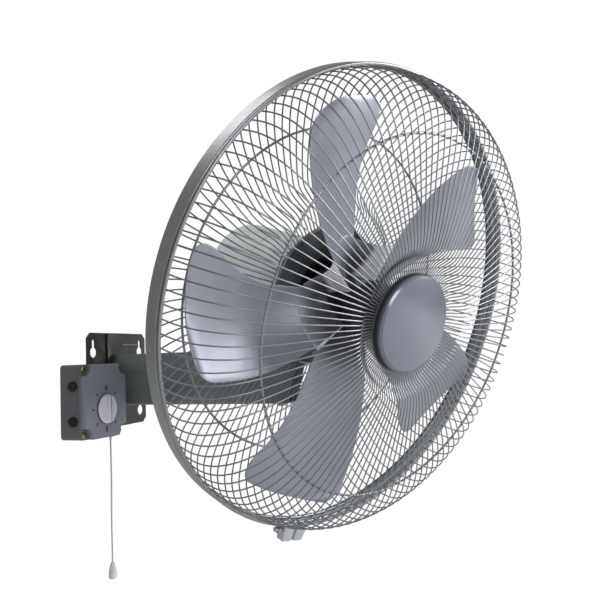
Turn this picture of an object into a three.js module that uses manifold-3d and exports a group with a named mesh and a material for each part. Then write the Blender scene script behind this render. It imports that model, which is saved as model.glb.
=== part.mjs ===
// Wall mounted fan: a pressed steel wall bracket with a switch box, a tilting and swinging neck,
// a shaded-pole motor, a five-blade sheet impeller and a two-piece wire guard held by a clamp band.
//
// Units are millimetres. The origin is the middle of the wall plate's back face: +Z is up, the wall
// lies at Y = 0 and the fan stands out along -Y. Along the motor axis, pieces are placed by their
// distance in front of the guard's front rim (negative is behind it).

import * as THREE from 'three';
import { mergeGeometries, mergeVertices } from 'three/addons/utils/BufferGeometryUtils.js';
import Module from 'manifold-3d';

const wasm = await Module();
wasm.setup();

// ---------------------------------------------------------------- driving dimensions

const fit = 0.3;                       // gap between pieces that touch

// wall plate and arm
const plate = { width: 128, height: 125, thickness: 2, corner: 7 };
const keyhole = { side: 51, top: 37, bottom: -45, head: 7, slot: 3, rise: 14 };
const foot = { width: 51, thickness: 2.7 };
const arm = { width: 34, height: 67, wall: 2, bend: 3, topReach: 272, bottomReach: 256, nose: 6 };
const bead = { top: 10.5, bottom: -13.5, depth: 0.9, start: 14, end: 231 };
const earthScrew = { reach: 242, shank: 3, head: 6, headHeight: 3.2, length: 12 };

// tilt hinge at the arm's end, swing pivot above it
const hinge = { reach: 200, height: 20, bolt: 4, headRadius: 6.5, headHeight: 5.3 };
const restTilt = 19.5;                 // degrees nose down
const restSwing = -24.6;               // degrees about the neck, negative towards -X
const bracket = { halfLength: 20, round: 12, wall: 2.5, top: 16.5, side: 0.4 };
const post = { radius: 8, rivet: 5, top: 33.5 };
const washer = { radius: 15.5, thickness: 4.6 };
const axisHeight = 108;                // motor axis above the tilt hinge
const neckSetback = 160;               // swing axis behind the guard's front rim

// guard, seen along the motor axis
const band = { radius: 255, width: 23.2, sheet: 1.2, lip: 3.7, gap: 4 };
const wires = { count: 120, radius: 1.2 };
const rimWire = { radius: 1.9, inset: 6 };
const ringWire = { radius: 1.6, sides: 3 };
const frontRing = { radius: 190 };
const rearRing = { radius: 188 };
const frontDisc = { radius: 51.5, thickness: 2, station: 60, hole: 2.4 };
const rearHub = { radius: 81, wire: 1.5, station: -60 };
const centrePlate = { radius: 82, thickness: 1.8 };
const cap = { radius: 52.5, rim: 68.5, crown: 77.5, wall: 1.5, boss: 5 };
const lug = { length: 16, height: 13, depth: 14, taper: 0.85, bore: 2.9 };

// motor
const shaft = { radius: 4, front: 22, rear: -205.2 };
const housing = { radius: 60, wall: 2.5, front: -84.3, back: -222, round: 14, vents: 6 };
const shield = { boss: 24, bossFront: -50, wall: 3, dish: 64.2 };
const bearing = { radius: 11, width: 7, frontStation: -58, rearStation: -205.4 };
const stator = { inner: 31, front: -100, length: 28 };
const winding = { inner: 35, outer: 52, length: 11 };
const rotor = { radius: 30.4, front: -99, length: 30 };
const guardNut = { radius: 36, front: -52, ribs: 8 };
const saddle = { halfWidth: 26, halfLength: 25, thickness: 6, boss: 17, bossDrop: 86, boreTop: 72 };

// impeller
const blade = { count: 5, root: 36, tip: 223, sheet: 1.5, camber: 7, restAngle: -18.8 };
const trailing = { angle: -36.5, sweep: 9.5, flare: 2, station: 3.5, rise: 6, round: 26 };
const leading = { angle: 0.5, sweep: 1, flare: 12, station: -25, rise: 6.5, round: 42 };
const bladeMiddle = 130;               // radius where the two edges above are stated
const spider = { gap: 0.7, collar: 15, collarFront: -2, collarBack: -34, reach: 80, armWidth: 24, sheet: 2.2 };
const spinner = { radius: 33, back: 6.5, front: 30 };

// switch box
const box = { left: -115, right: -35.5, top: 22, bottom: -68.5, front: -38.9, wall: 2.5, round: 5 };
const boxSplit = -28;                  // where the cover meets the base
const ear = { size: 14, thickness: 2.3 };
const coverScrew = { shank: 2, head: 4, headHeight: 2.6, inset: 5.4, post: 8 };
const knob = { radius: 16.2, disc: 4, ridge: 6.5, height: 12, z: -33.3, spindle: 3 };
const dialRing = { width: 2, thickness: 1.3 };
const speedSwitch = { radius: 14, depth: 16, bush: 5 };
const gland = { radius: 6.2, neck: 4.6, reach: 4, y: -21, upper: -4, lower: -46 };
const capacitor = { width: 30, depth: 15, height: 34 };
const terminals = { width: 26, depth: 9, height: 12 };

// pull cord
const cord = { x: -46, y: -22.2, diameter: 2, bottom: -229, steps: 10, sway: 0.6 };
const pullLink = { radius: 1.6, inside: 12, outside: 4 };
const cordBush = { radius: 4.6, bore: 2.4, flange: 6 };
const bell = { radius: 5.1, neck: 2.2, length: 21, ribs: 4 };
const pullSwitch = { halfWidth: 8, front: 5, height: 20, grip: 5 };

// ---------------------------------------------------------------- finishes

const finish = (color, roughness, metalness) => ({ color, roughness, metalness, flatShading: true });
const darkSteel = finish(0x3f4244, 0.5, 0.35);
const bluePaint = finish(0x8b90a0, 0.42, 0.3);
const bandPaint = finish(0x8d919c, 0.3, 0.6);
const boxPaint = finish(0x686c78, 0.5, 0.15);
const wireCoat = finish(0x8f9695, 0.35, 0.7);
const paleCasting = finish(0xa9b1b1, 0.55, 0.3);
const blackPlastic = finish(0x1d1f21, 0.55, 0);
const palePlastic = finish(0xb9bac6, 0.45, 0);
const greyPlastic = finish(0x7d8286, 0.5, 0);
const bareSteel = finish(0xb8bcbe, 0.35, 0.9);
const zinc = finish(0xb59a54, 0.35, 0.9);
const copper = finish(0xa2613a, 0.45, 0.8);
const rubberBlack = finish(0x161718, 0.8, 0);
const cordWhite = finish(0xcfcfca, 0.8, 0);

// ---------------------------------------------------------------- shape helpers

const radians = THREE.MathUtils.degToRad;
const v2 = (x, y) => new THREE.Vector2(x, y);
const v3 = (x, y, z) => new THREE.Vector3(x, y, z);
const range = (count) => Array.from({ length: count }, (_, i) => i);

function volumeOf(geometry) {
  const p = geometry.attributes.position;
  const index = geometry.index.array;
  const at = (i) => v3(p.getX(i), p.getY(i), p.getZ(i));
  let sum = 0;
  for (let i = 0; i < index.length; i += 3) {
    sum += at(index[i]).dot(at(index[i + 1]).cross(at(index[i + 2])));
  }
  return sum / 6;
}

// Shared vertices merged, slivers dropped and faces pointing out.
function closed(geometry) {
  const bare = geometry.index ? geometry.toNonIndexed() : geometry.clone();
  bare.deleteAttribute('normal');
  bare.deleteAttribute('uv');
  const merged = mergeVertices(bare, 1e-4);
  const index = merged.index.array;
  const kept = [];
  for (let i = 0; i < index.length; i += 3) {
    const [a, b, c] = index.slice(i, i + 3);
    if (a !== b && b !== c && c !== a) kept.push(a, b, c);
  }
  merged.setIndex(kept);
  if (volumeOf(merged) < 0) merged.setIndex(kept.reverse());
  return merged;
}

function solidOf(geometry) {
  const shape = closed(geometry);
  const vertProperties = new Float32Array(shape.attributes.position.array);
  const triVerts = new Uint32Array(shape.index.array);
  return new wasm.Manifold(new wasm.Mesh({ numProp: 3, vertProperties, triVerts }));
}

function geometryOf(solid) {
  const mesh = solid.getMesh();
  const geometry = new THREE.BufferGeometry();
  geometry.setAttribute('position', new THREE.BufferAttribute(mesh.vertProperties, 3));
  geometry.setIndex(new THREE.BufferAttribute(mesh.triVerts, 1));
  return geometry;
}

const join = (first, ...others) =>
  geometryOf(others.reduce((sum, other) => sum.add(solidOf(other)), solidOf(first)));
const cut = (body, ...tools) =>
  geometryOf(tools.reduce((left, tool) => left.subtract(solidOf(tool)), solidOf(body)));
const common = (a, b) => geometryOf(solidOf(a).intersect(solidOf(b)));

function block(x0, x1, y0, y1, z0, z1) {
  return new THREE.BoxGeometry(x1 - x0, y1 - y0, z1 - z0)
    .translate((x0 + x1) / 2, (y0 + y1) / 2, (z0 + z1) / 2);
}

const extruded = (shape, depth, curveSegments = 4) =>
  new THREE.ExtrudeGeometry(shape, { depth, curveSegments, bevelEnabled: false });

// An outline drawn in X and Z, from y1 back to y0; one drawn in Y and Z, from x0 to x1;
// one drawn in X and Y, from z0 to z1.
const prismY = (shape, y0, y1, curve) => extruded(shape, y1 - y0, curve).rotateX(Math.PI / 2)
  .translate(0, y1, 0);
const yzAcross = new THREE.Matrix4().makeBasis(v3(0, 1, 0), v3(0, 0, 1), v3(1, 0, 0));
const prismX = (shape, x0, x1, curve) => extruded(shape, x1 - x0, curve)
  .applyMatrix4(yzAcross).translate(x0, 0, 0);

// Round bars along each axis, through a point of the other two coordinates.
const rodX = (radius, x0, x1, y, z, sides = 12) =>
  new THREE.CylinderGeometry(radius, radius, x1 - x0, sides).rotateZ(Math.PI / 2)
    .translate((x0 + x1) / 2, y, z);
const rodY = (radius, y0, y1, x, z, sides = 12) =>
  new THREE.CylinderGeometry(radius, radius, y1 - y0, sides).translate(x, (y0 + y1) / 2, z);
const rodZ = (radius, z0, z1, x, y, sides = 12) =>
  new THREE.CylinderGeometry(radius, radius, z1 - z0, sides).rotateX(Math.PI / 2)
    .translate(x, y, (z0 + z1) / 2);

function roundedRect(x0, y0, x1, y1, r) {
  const shape = new THREE.Shape();
  shape.moveTo(x0 + r, y0);
  shape.lineTo(x1 - r, y0);
  shape.absarc(x1 - r, y0 + r, r, -Math.PI / 2, 0);
  shape.lineTo(x1, y1 - r);
  shape.absarc(x1 - r, y1 - r, r, 0, Math.PI / 2);
  shape.lineTo(x0 + r, y1);
  shape.absarc(x0 + r, y1 - r, r, Math.PI / 2, Math.PI);
  shape.lineTo(x0, y0 + r);
  shape.absarc(x0 + r, y0 + r, r, Math.PI, Math.PI * 1.5);
  return shape;
}

const outline = (points) => new THREE.Shape(points.map(([x, y]) => v2(x, y)));

// A turned piece on the motor axis: profile points are [radius, station], and a station lies
// that far in front of the guard's front rim. The axis group's -Y points forward.
const turned = (profile, sides = 32) =>
  new THREE.LatheGeometry(profile.map(([r, s]) => v2(r, -s)), sides);
const ringProfile = (inner, outer, back, front) =>
  [[inner, back], [outer, back], [outer, front], [inner, front], [inner, back]];

// A round wire bent to a circle, as a closed section swept about the motor axis.
function wireRing(radius, station, wireRadius, sides, steps) {
  const section = range(sides + 1).map((i) => {
    const a = (i / sides) * Math.PI * 2;
    return [radius + wireRadius * Math.cos(a), station + wireRadius * Math.sin(a)];
  });
  return turned(section, steps);
}

// Rings of matching points skinned one after the other, with both ends closed.
function loft(rings) {
  const n = rings[0].length;
  const points = rings.flat();
  const index = [];
  for (let k = 0; k + 1 < rings.length; k += 1) {
    for (let i = 0; i < n; i += 1) {
      const [a, b] = [k * n + i, k * n + (i + 1) % n];
      index.push(a, b, a + n, b, b + n, a + n);
    }
  }
  const last = (rings.length - 1) * n;
  for (let i = 1; i + 1 < n - i; i += 1) {
    const strip = [i - 1, i, n - i, i, n - 1 - i, n - i];
    index.push(...strip.toReversed(), ...strip.map((j) => j + last));
  }
  if (n % 2 === 1) {
    const m = (n - 1) / 2;
    index.push(m + 1, m, m - 1, last + m - 1, last + m, last + m + 1);
  }
  const geometry = new THREE.BufferGeometry().setFromPoints(points);
  geometry.setIndex(index);
  return geometry;
}

// ---------------------------------------------------------------- scene graph

const fan = new THREE.Group();
const tiltGroup = new THREE.Group();
tiltGroup.position.set(0, -hinge.reach, hinge.height);
tiltGroup.rotation.x = radians(restTilt);
const swingGroup = new THREE.Group();
swingGroup.rotation.z = radians(restSwing);
const head = new THREE.Group();
head.position.set(0, -neckSetback, axisHeight);
const impeller = new THREE.Group();
impeller.rotation.y = radians(blade.restAngle);
fan.add(tiltGroup);
tiltGroup.add(swingGroup);
swingGroup.add(head);
head.add(impeller);

function piece(parent, name, look, geometry) {
  const mesh = new THREE.Mesh(closed(geometry), new THREE.MeshStandardMaterial(look));
  mesh.name = name;
  parent.add(mesh);
  return mesh;
}

// ---------------------------------------------------------------- wall plate and arm

function keyholeCut(x, z) {
  const y = -plate.thickness;
  const hole = rodY(keyhole.head, y - 1, 1, x, z, 14);
  const slot = block(x - keyhole.slot, x + keyhole.slot, y - 1, 1, z, z + keyhole.rise);
  const end = rodY(keyhole.slot, y - 1, 1, x, z + keyhole.rise, 8);
  return join(hole, slot, end);
}

function wallPlate() {
  const [w, h, c] = [plate.width / 2, plate.height / 2, plate.corner];
  const sheet = outline([[-w, -h + c], [-w + c, -h], [w - c, -h], [w, -h + c],
    [w, h - c], [w - c, h], [-w + c, h], [-w, h - c]]);
  const holes = [-1, 1].flatMap((side) =>
    [keyhole.top, keyhole.bottom].map((z) => keyholeCut(side * keyhole.side, z)));
  return cut(prismY(sheet, -plate.thickness, 0), ...holes);
}
piece(fan, 'wall_plate', darkSteel, wallPlate());

const footBack = -plate.thickness - fit;
const footFront = footBack - foot.thickness;

// A channel open at the top, welded to its foot, with a long pressed bead in each cheek.
function armChannel() {
  const [w, h, t, r] = [arm.width / 2, arm.height / 2, arm.wall, arm.bend];
  const section = new THREE.Shape();
  section.moveTo(-w, h);
  section.lineTo(-w, -h + r);
  section.absarc(-w + r, -h + r, r, Math.PI, Math.PI * 1.5);
  section.lineTo(w - r, -h);
  section.absarc(w - r, -h + r, r, -Math.PI / 2, 0);
  section.lineTo(w, h);
  section.lineTo(w - t, h);
  section.lineTo(w - t, -h + t);
  section.lineTo(-w + t, -h + t);
  section.lineTo(-w + t, h);
  const channel = prismY(section, -arm.topReach - 5, footFront + 0.5, 3);
  const side = outline([[0, -h], [-arm.bottomReach, -h], [-arm.topReach, h - arm.nose],
    [-arm.topReach + arm.nose, h], [0, h]]);
  const cheeks = common(channel, prismX(side, -w - 1, w + 1));
  const foothold = block(-foot.width / 2, foot.width / 2, footFront, footBack,
    -plate.height / 2, plate.height / 2);
  const beads = [-1, 1].map((s) => {
    const [inner, outer] = [w - bead.depth, w + 1].map((x) => s * x);
    return block(Math.min(inner, outer), Math.max(inner, outer), -bead.end, -bead.start,
      bead.bottom, bead.top);
  });
  const hingeHole = rodX(hinge.bolt + fit, -w - 1, w + 1, -hinge.reach, hinge.height);
  const earthHole = rodZ(earthScrew.shank + fit, -h - 1, -h + t + 1, 0, -earthScrew.reach);
  return cut(join(cheeks, foothold), ...beads, hingeHole, earthHole);
}
piece(fan, 'arm', darkSteel, armChannel());

function boltAlongX(radius, headRadius, headHeight, x0, x1, y, z) {
  const head6 = rodX(headRadius, x0 - headHeight, x0, y, z, 6);
  return join(head6, rodX(radius, x0 - headHeight / 2, x1, y, z));
}
const armSide = arm.width / 2 + fit;
piece(fan, 'tilt_bolt', bareSteel, boltAlongX(hinge.bolt, hinge.headRadius, hinge.headHeight,
  -armSide, armSide + hinge.headHeight + 3, -hinge.reach, hinge.height));
piece(fan, 'tilt_nut', bareSteel, cut(
  rodX(hinge.headRadius, armSide, armSide + hinge.headHeight, -hinge.reach, hinge.height, 6),
  rodX(hinge.bolt + fit, 0, armSide + hinge.headHeight + 1, -hinge.reach, hinge.height)));
const armUnder = -arm.height / 2 - fit;
piece(fan, 'earth_screw', bareSteel, join(
  rodZ(earthScrew.head, armUnder - earthScrew.headHeight, armUnder, 0, -earthScrew.reach, 6),
  rodZ(earthScrew.shank, armUnder - 1, armUnder + earthScrew.length, 0, -earthScrew.reach, 12)));

// ---------------------------------------------------------------- switch box

const boxBack = -plate.thickness - fit;
const knobX = (box.left + box.right) / 2;
const screwSpots = [[box.left, box.top], [box.right, box.top],
  [box.left, box.bottom], [box.right, box.bottom]].map(([x, z]) =>
  [x - Math.sign(x - knobX) * coverScrew.inset, z - Math.sign(z - knob.z) * coverScrew.inset]);

function controlBase() {
  const w = box.wall;
  const tray = prismY(roundedRect(box.left, box.bottom, box.right, box.top, box.round),
    boxSplit, boxBack, 2);
  const hollow = block(box.left + w, box.right - w, boxSplit - 1, boxBack - w,
    box.bottom + w, box.top - w);
  const posts = screwSpots.map(([x, z]) => {
    const [sx, sz] = [Math.sign(x - knobX), Math.sign(z - knob.z)];
    const [cx, cz] = [x + sx * coverScrew.inset, z + sz * coverScrew.inset];
    const [dx, dz] = [cx - sx * coverScrew.post, cz - sz * coverScrew.post];
    return block(Math.min(cx, dx), Math.max(cx, dx), boxSplit, boxBack,
      Math.min(cz, dz), Math.max(cz, dz));
  });
  const shell = cut(tray, hollow);
  const blank = common(join(shell, ...posts), tray);
  const screwHoles = screwSpots.map(([x, z]) =>
    rodY(coverScrew.shank + fit, boxSplit - 1, boxSplit + 9, x, z, 8));
  const glandHoles = [gland.upper, gland.lower].map((z) =>
    rodX(gland.neck + fit, box.left - 1, box.left + w + 1, gland.y, z));
  const cordHole = rodZ(cordBush.radius + fit, box.bottom - 1, box.bottom + w + 1, cord.x, cord.y);
  return cut(blank, ...screwHoles, ...glandHoles, cordHole);
}
piece(fan, 'control_base', boxPaint, controlBase());

// The cover's raised front is notched at its corners, where the screws hold its ears down.
function controlCover() {
  const [l, r, b, t, n, w] = [box.left, box.right, box.bottom, box.top, ear.size, box.wall];
  const coverBack = boxSplit - fit;
  const flange = prismY(roundedRect(l, b, r, t, box.round), coverBack - ear.thickness,
    coverBack, 2);
  const front = new THREE.Shape();
  front.moveTo(l + n, b);
  front.lineTo(r - n, b);
  front.bezierCurveTo(r - n, b + n * 0.8, r - n * 0.8, b + n, r, b + n);
  front.lineTo(r, t - n);
  front.bezierCurveTo(r - n * 0.8, t - n, r - n, t - n * 0.8, r - n, t);
  front.lineTo(l + n, t);
  front.bezierCurveTo(l + n, t - n * 0.8, l + n * 0.8, t - n, l, t - n);
  front.lineTo(l, b + n);
  front.bezierCurveTo(l + n * 0.8, b + n, l + n, b + n * 0.8, l + n, b);
  const raised = prismY(front, box.front, coverBack - 0.5, 3);
  const hollow = block(l + w, r - w, box.front + w, coverBack + 1, b + n + w, t - n - w);
  const hollowTall = block(l + n + w, r - n - w, box.front + w, coverBack + 1, b + w, t - w);
  const bushHole = rodY(speedSwitch.bush + fit, box.front - 1, coverBack, knobX, knob.z);
  const screwHoles = screwSpots.map(([x, z]) =>
    rodY(coverScrew.shank + fit, coverBack - ear.thickness - 1, coverBack + 1, x, z, 8));
  return cut(join(flange, raised), hollow, hollowTall, bushHole, ...screwHoles);
}
piece(fan, 'control_cover', boxPaint, controlCover());

screwSpots.forEach(([x, z], i) => {
  const seat = boxSplit - 2 * fit - ear.thickness;
  const head4 = rodY(coverScrew.head, seat - coverScrew.headHeight, seat, x, z, 12);
  piece(fan, `cover_screw_${i + 1}`, zinc,
    join(head4, rodY(coverScrew.shank, seat - 1, boxSplit + 8, x, z, 8)));
});

const dialBack = box.front - fit;
piece(fan, 'dial_ring', blackPlastic, cut(
  rodY(knob.radius + fit + dialRing.width, dialBack - dialRing.thickness, dialBack, knobX, knob.z, 20),
  rodY(knob.radius + fit, dialBack - 5, dialBack + 1, knobX, knob.z, 20)));

const switchFront = box.front + box.wall + fit;
piece(fan, 'speed_switch', greyPlastic, cut(join(
  rodY(speedSwitch.radius, switchFront, switchFront + speedSwitch.depth, knobX, knob.z, 8),
  rodY(speedSwitch.bush, box.front, switchFront + 1, knobX, knob.z)),
rodY(knob.spindle + fit, box.front - 1, switchFront + 9, knobX, knob.z)));

piece(fan, 'knob_spindle', bareSteel,
  rodY(knob.spindle, box.front - 6, switchFront + 8.5, knobX, knob.z, 12));
function speedKnob() {
  const back = box.front - fit;
  const disc = rodY(knob.radius, back - knob.disc, back, knobX, knob.z, 20);
  const grip = prismY(roundedRect(knobX - knob.ridge / 2, knob.z - knob.radius + 1,
    knobX + knob.ridge / 2, knob.z + knob.radius - 1, 2), back - knob.height, back - 1, 3);
  const bore = rodY(knob.spindle + fit, box.front - 6 - fit, box.front + 1, knobX, knob.z, 12);
  return cut(join(disc, grip), bore);
}
piece(fan, 'speed_knob', palePlastic, speedKnob());

// A turned outline with its axis along X, the first coordinate being the radius.
const turnedX = (profile, y, z, sides = 12) =>
  new THREE.LatheGeometry(profile.map(([r, x]) => v2(r, -x)), sides)
    .rotateZ(Math.PI / 2).translate(0, y, z);
const turnedZ = (profile, x, y, sides = 16) =>
  new THREE.LatheGeometry(profile.map(([r, z]) => v2(r, -z)), sides)
    .rotateX(-Math.PI / 2).translate(x, y, 0);

function glandPlug(z) {
  const outside = box.left - fit;
  const inside = box.left + box.wall + fit;
  return turnedX([[0, outside - gland.reach], [gland.neck - 1.5, outside - gland.reach],
    [gland.radius - 0.6, outside - gland.reach + 1], [gland.radius, outside - 1.2],
    [gland.radius, outside], [gland.neck, outside], [gland.neck, inside],
    [gland.neck + 1, inside], [gland.neck + 0.4, inside + 2], [0, inside + 2]], gland.y, z);
}
piece(fan, 'gland_upper', rubberBlack, glandPlug(gland.upper));
piece(fan, 'gland_lower', rubberBlack, glandPlug(gland.lower));

const insideBack = boxBack - box.wall - fit;
const capacitorLeft = box.left + box.wall + 15;
piece(fan, 'run_capacitor', greyPlastic, prismY(roundedRect(capacitorLeft, box.top - 40 - 12,
  capacitorLeft + capacitor.width, box.top - 6, 3), insideBack - capacitor.depth, insideBack));
function terminalBlock() {
  const [x0, z0] = [box.right - box.wall - terminals.width - 2, box.top - 24];
  const base = block(x0, x0 + terminals.width, insideBack - terminals.depth, insideBack,
    z0, z0 + terminals.height);
  const ways = range(3).map((i) => {
    const x = x0 + terminals.width * (i + 0.5) / 3;
    return rodY(2.2, insideBack - terminals.depth - 1, insideBack - 4, x, z0 + terminals.height / 2, 8);
  });
  return cut(base, ...ways);
}
piece(fan, 'terminal_block', palePlastic, terminalBlock());

// ---------------------------------------------------------------- pull switch and cord

const linkTop = box.bottom + box.wall + pullLink.inside;
const linkBottom = box.bottom - cordBush.flange / 2 - pullLink.outside;
piece(fan, 'pull_switch', greyPlastic, cut(
  block(cord.x - pullSwitch.halfWidth, box.right - box.wall - fit, cord.y - pullSwitch.front,
    insideBack, linkTop - pullSwitch.grip, linkTop - pullSwitch.grip + pullSwitch.height),
  rodZ(pullLink.radius + 1, linkTop - pullSwitch.grip - 1, linkTop + 1, cord.x, cord.y)));
const bushTop = box.bottom + box.wall + 1;
const bushLow = box.bottom - fit;
piece(fan, 'cord_bush', blackPlastic, turnedZ([[cordBush.bore, bushTop], [cordBush.radius, bushTop],
  [cordBush.radius, bushLow], [cordBush.flange, bushLow], [cordBush.flange - 1, bushLow - 2.2],
  [cordBush.bore, bushLow - 2.2], [cordBush.bore, bushTop]], cord.x, cord.y));
piece(fan, 'pull_link', bareSteel, turnedZ([[0, linkTop], [pullLink.radius, linkTop],
  [pullLink.radius, linkBottom], [0, linkBottom]], cord.x, cord.y, 12));

// The free cord hangs straight down with a slight wander, to the bell on its end.
const cordTop = linkBottom - fit;
const cordRoute = range(cord.steps + 1).map((i) => {
  const t = i / cord.steps;
  const wander = cord.sway * Math.sin(t * Math.PI * 2) * Math.sin(t * Math.PI);
  return v3(cord.x + wander, cord.y, cordTop + (cord.bottom - cordTop) * t);
});
const cordSection = outline(range(8).map((i) => {
  const a = (i / 8) * Math.PI * 2;
  return [cord.diameter / 2 * Math.cos(a), cord.diameter / 2 * Math.sin(a)];
}));
piece(fan, 'pull_cord', cordWhite, new THREE.ExtrudeGeometry(cordSection, {
  steps: cord.steps, bevelEnabled: false, extrudePath: new THREE.CatmullRomCurve3(cordRoute),
}));

function cordBell() {
  const top = cord.bottom - fit;
  const flare = (t) => bell.neck + (bell.radius - bell.neck) * Math.sin(Math.min(1, t * 1.25) * Math.PI / 2);
  const side = range(bell.ribs * 2 + 1).map((i) => {
    const t = i / (bell.ribs * 2);
    const rib = i % 2 === 1 ? 0.35 : 0;
    return [flare(t) - rib, top - t * (bell.length - 3)];
  });
  return turnedZ([[0, top], ...side, [bell.radius * 0.7, top - bell.length + 0.6],
    [0, top - bell.length]], cord.x, cord.y, 12);
}
piece(fan, 'cord_bell', palePlastic, cordBell());

// ---------------------------------------------------------------- tilt bracket and swing post

const bracketOuter = arm.width / 2 - arm.wall - bracket.side;
function tiltBracket() {
  const b = bracket;
  const side = new THREE.Shape();
  side.moveTo(-b.halfLength, b.top);
  side.lineTo(-b.halfLength, b.top - 6);
  side.lineTo(-b.round, 0);
  side.absarc(0, 0, b.round, Math.PI, Math.PI * 2);
  side.lineTo(b.halfLength, b.top - 6);
  side.lineTo(b.halfLength, b.top);
  const body = prismX(side, -bracketOuter, bracketOuter, 6);
  const inside = block(-bracketOuter + b.wall, bracketOuter - b.wall, -b.halfLength - 1,
    b.halfLength + 1, -b.round - 1, b.top - b.wall);
  const boltHole = rodX(hinge.bolt + fit, -bracketOuter - 1, bracketOuter + 1, 0, 0);
  const rivetHole = rodZ(post.rivet + fit, b.top - b.wall - 1, b.top + 1, 0, 0);
  return cut(body, inside, boltHole, rivetHole);
}
piece(tiltGroup, 'tilt_bracket', darkSteel, tiltBracket());

const webUnder = bracket.top - bracket.wall - fit;
const postFoot = bracket.top + fit;
piece(tiltGroup, 'swing_post', bareSteel, turnedZ([[0, webUnder - 2], [post.rivet + 2.4, webUnder - 2],
  [post.rivet + 2.4, webUnder], [post.rivet, webUnder], [post.rivet, postFoot],
  [post.radius, postFoot], [post.radius, post.top], [0, post.top]], 0, 0));
piece(tiltGroup, 'swing_washer', palePlastic, turnedZ([[post.radius + fit, postFoot],
  [washer.radius, postFoot], [washer.radius, postFoot + washer.thickness],
  [post.radius + fit, postFoot + washer.thickness], [post.radius + fit, postFoot]], 0, 0));

// ---------------------------------------------------------------- motor

const motorSides = 28;
const neckY = neckSetback;             // the swing axis, in the head's own coordinates

// The casting under the motor: a saddle against the housing and a boss round the swing post.
function swivelHousing() {
  const [inner, outer] = [housing.radius + fit, housing.radius + fit + saddle.thickness];
  const sleeve = rodY(outer, neckY - saddle.halfLength, neckY + saddle.halfLength, 0, 0, 32);
  const window = block(-saddle.halfWidth, saddle.halfWidth, neckY - 60, neckY + 60, -80, -40);
  const boss = rodZ(saddle.boss, -saddle.bossDrop, -inner + 4, 0, neckY, 20);
  const motor = rodY(inner, neckY - 80, neckY + 80, 0, 0, 32);
  const bore = rodZ(post.radius + fit, -saddle.bossDrop - 1, -saddle.boreTop, 0, neckY);
  return cut(join(common(sleeve, window), boss), motor, bore);
}
piece(head, 'swivel_housing', darkSteel, swivelHousing());

function motorHousing() {
  const { radius: r, wall: w, front, back, round } = housing;
  const seat = bearing.radius + fit;
  const corner = (radius, c) => range(3).map((i) => {
    const a = (i / 2) * Math.PI / 2;
    return [radius - c + c * Math.sin(a), back + round - c * Math.cos(a)];
  });
  const outer = corner(r, round);
  const inner = corner(r - w, round - w).toReversed();
  const profile = [[0, back], ...outer, [r, front], [r - w, front], ...inner,
    [seat + 4, back + w], [seat + 4, bearing.rearStation + bearing.width], [seat, bearing.rearStation
      + bearing.width], [seat, bearing.rearStation - fit], [0, bearing.rearStation - fit]];
  const vents = range(housing.vents).map((i) => block(-2, 2, -back - w - 2, -back + 1, 22, 42)
    .rotateY((i / housing.vents) * Math.PI * 2));
  return cut(turned(profile, motorSides), ...vents);
}
piece(head, 'motor_housing', paleCasting, motorHousing());

const plateFront = rearHub.station - rearHub.wire - fit;
const plateBack = plateFront - centrePlate.thickness;
function frontShield() {
  const seat = bearing.radius + fit;
  const [dishFront, dishBack] = [plateBack - fit, housing.front + fit];
  const seatBack = bearing.frontStation - bearing.width - fit;
  return turned([[shaft.radius + fit, dishBack + shield.wall + 4], [shaft.radius + fit, seatBack],
    [seat, seatBack], [seat, shield.bossFront], [shield.boss, shield.bossFront],
    [shield.boss, dishFront], [shield.boss + 20, dishFront], [housing.radius, dishBack + 8],
    [housing.radius, dishBack], [housing.radius - shield.wall, dishBack],
    [shield.boss + 16, dishBack + shield.wall + 4],
    [shaft.radius + fit, dishBack + shield.wall + 4]], motorSides);
}
piece(head, 'front_shield', blackPlastic, frontShield());

const statorOuter = housing.radius - housing.wall - fit;
const statorBack = stator.front - stator.length;
function statorCore() {
  const core = turned(ringProfile(stator.inner, statorOuter, statorBack, stator.front),
    motorSides);
  const slots = range(6).map((i) => block(-3, 3, -stator.front - 1, -statorBack + 1,
    stator.inner - 2, stator.inner + 12).rotateY((i / 6) * Math.PI * 2));
  return cut(core, ...slots);
}
piece(head, 'stator_core', bareSteel, statorCore());
piece(head, 'winding_front', copper, turned(ringProfile(winding.inner, winding.outer,
  stator.front + fit, stator.front + fit + winding.length), 16));
piece(head, 'winding_rear', copper, turned(ringProfile(winding.inner, winding.outer,
  statorBack - fit - winding.length, statorBack - fit), 16));

const bearingRing = (back) => turned(ringProfile(shaft.radius + fit, bearing.radius, back,
  back + bearing.width), 16);
piece(head, 'front_bearing', bareSteel, bearingRing(bearing.frontStation - bearing.width));
piece(head, 'rear_bearing', bareSteel, bearingRing(bearing.rearStation));

// ---------------------------------------------------------------- wire guards

// One guard wire: the three-sided sections of a bar bent through [radius, station] points, at
// an angle measured clockwise from the top as seen from the front.
function wireSections(points, angle) {
  const out = v3(Math.sin(angle), 0, Math.cos(angle));
  const across = v3(Math.cos(angle), 0, -Math.sin(angle));
  const ahead = v3(0, -1, 0);
  const at = ([r, s]) => out.clone().multiplyScalar(r).addScaledVector(ahead, s);
  return points.map((point, i) => {
    const before = at(points[Math.max(i - 1, 0)]);
    const after = at(points[Math.min(i + 1, points.length - 1)]);
    const normal = after.sub(before).normalize().cross(across).normalize();
    return range(3).map((k) => {
      const a = radians(90 + 120 * k);
      return at(point).addScaledVector(across, wires.radius * Math.cos(a))
        .addScaledVector(normal, wires.radius * Math.sin(a));
    });
  });
}

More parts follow.
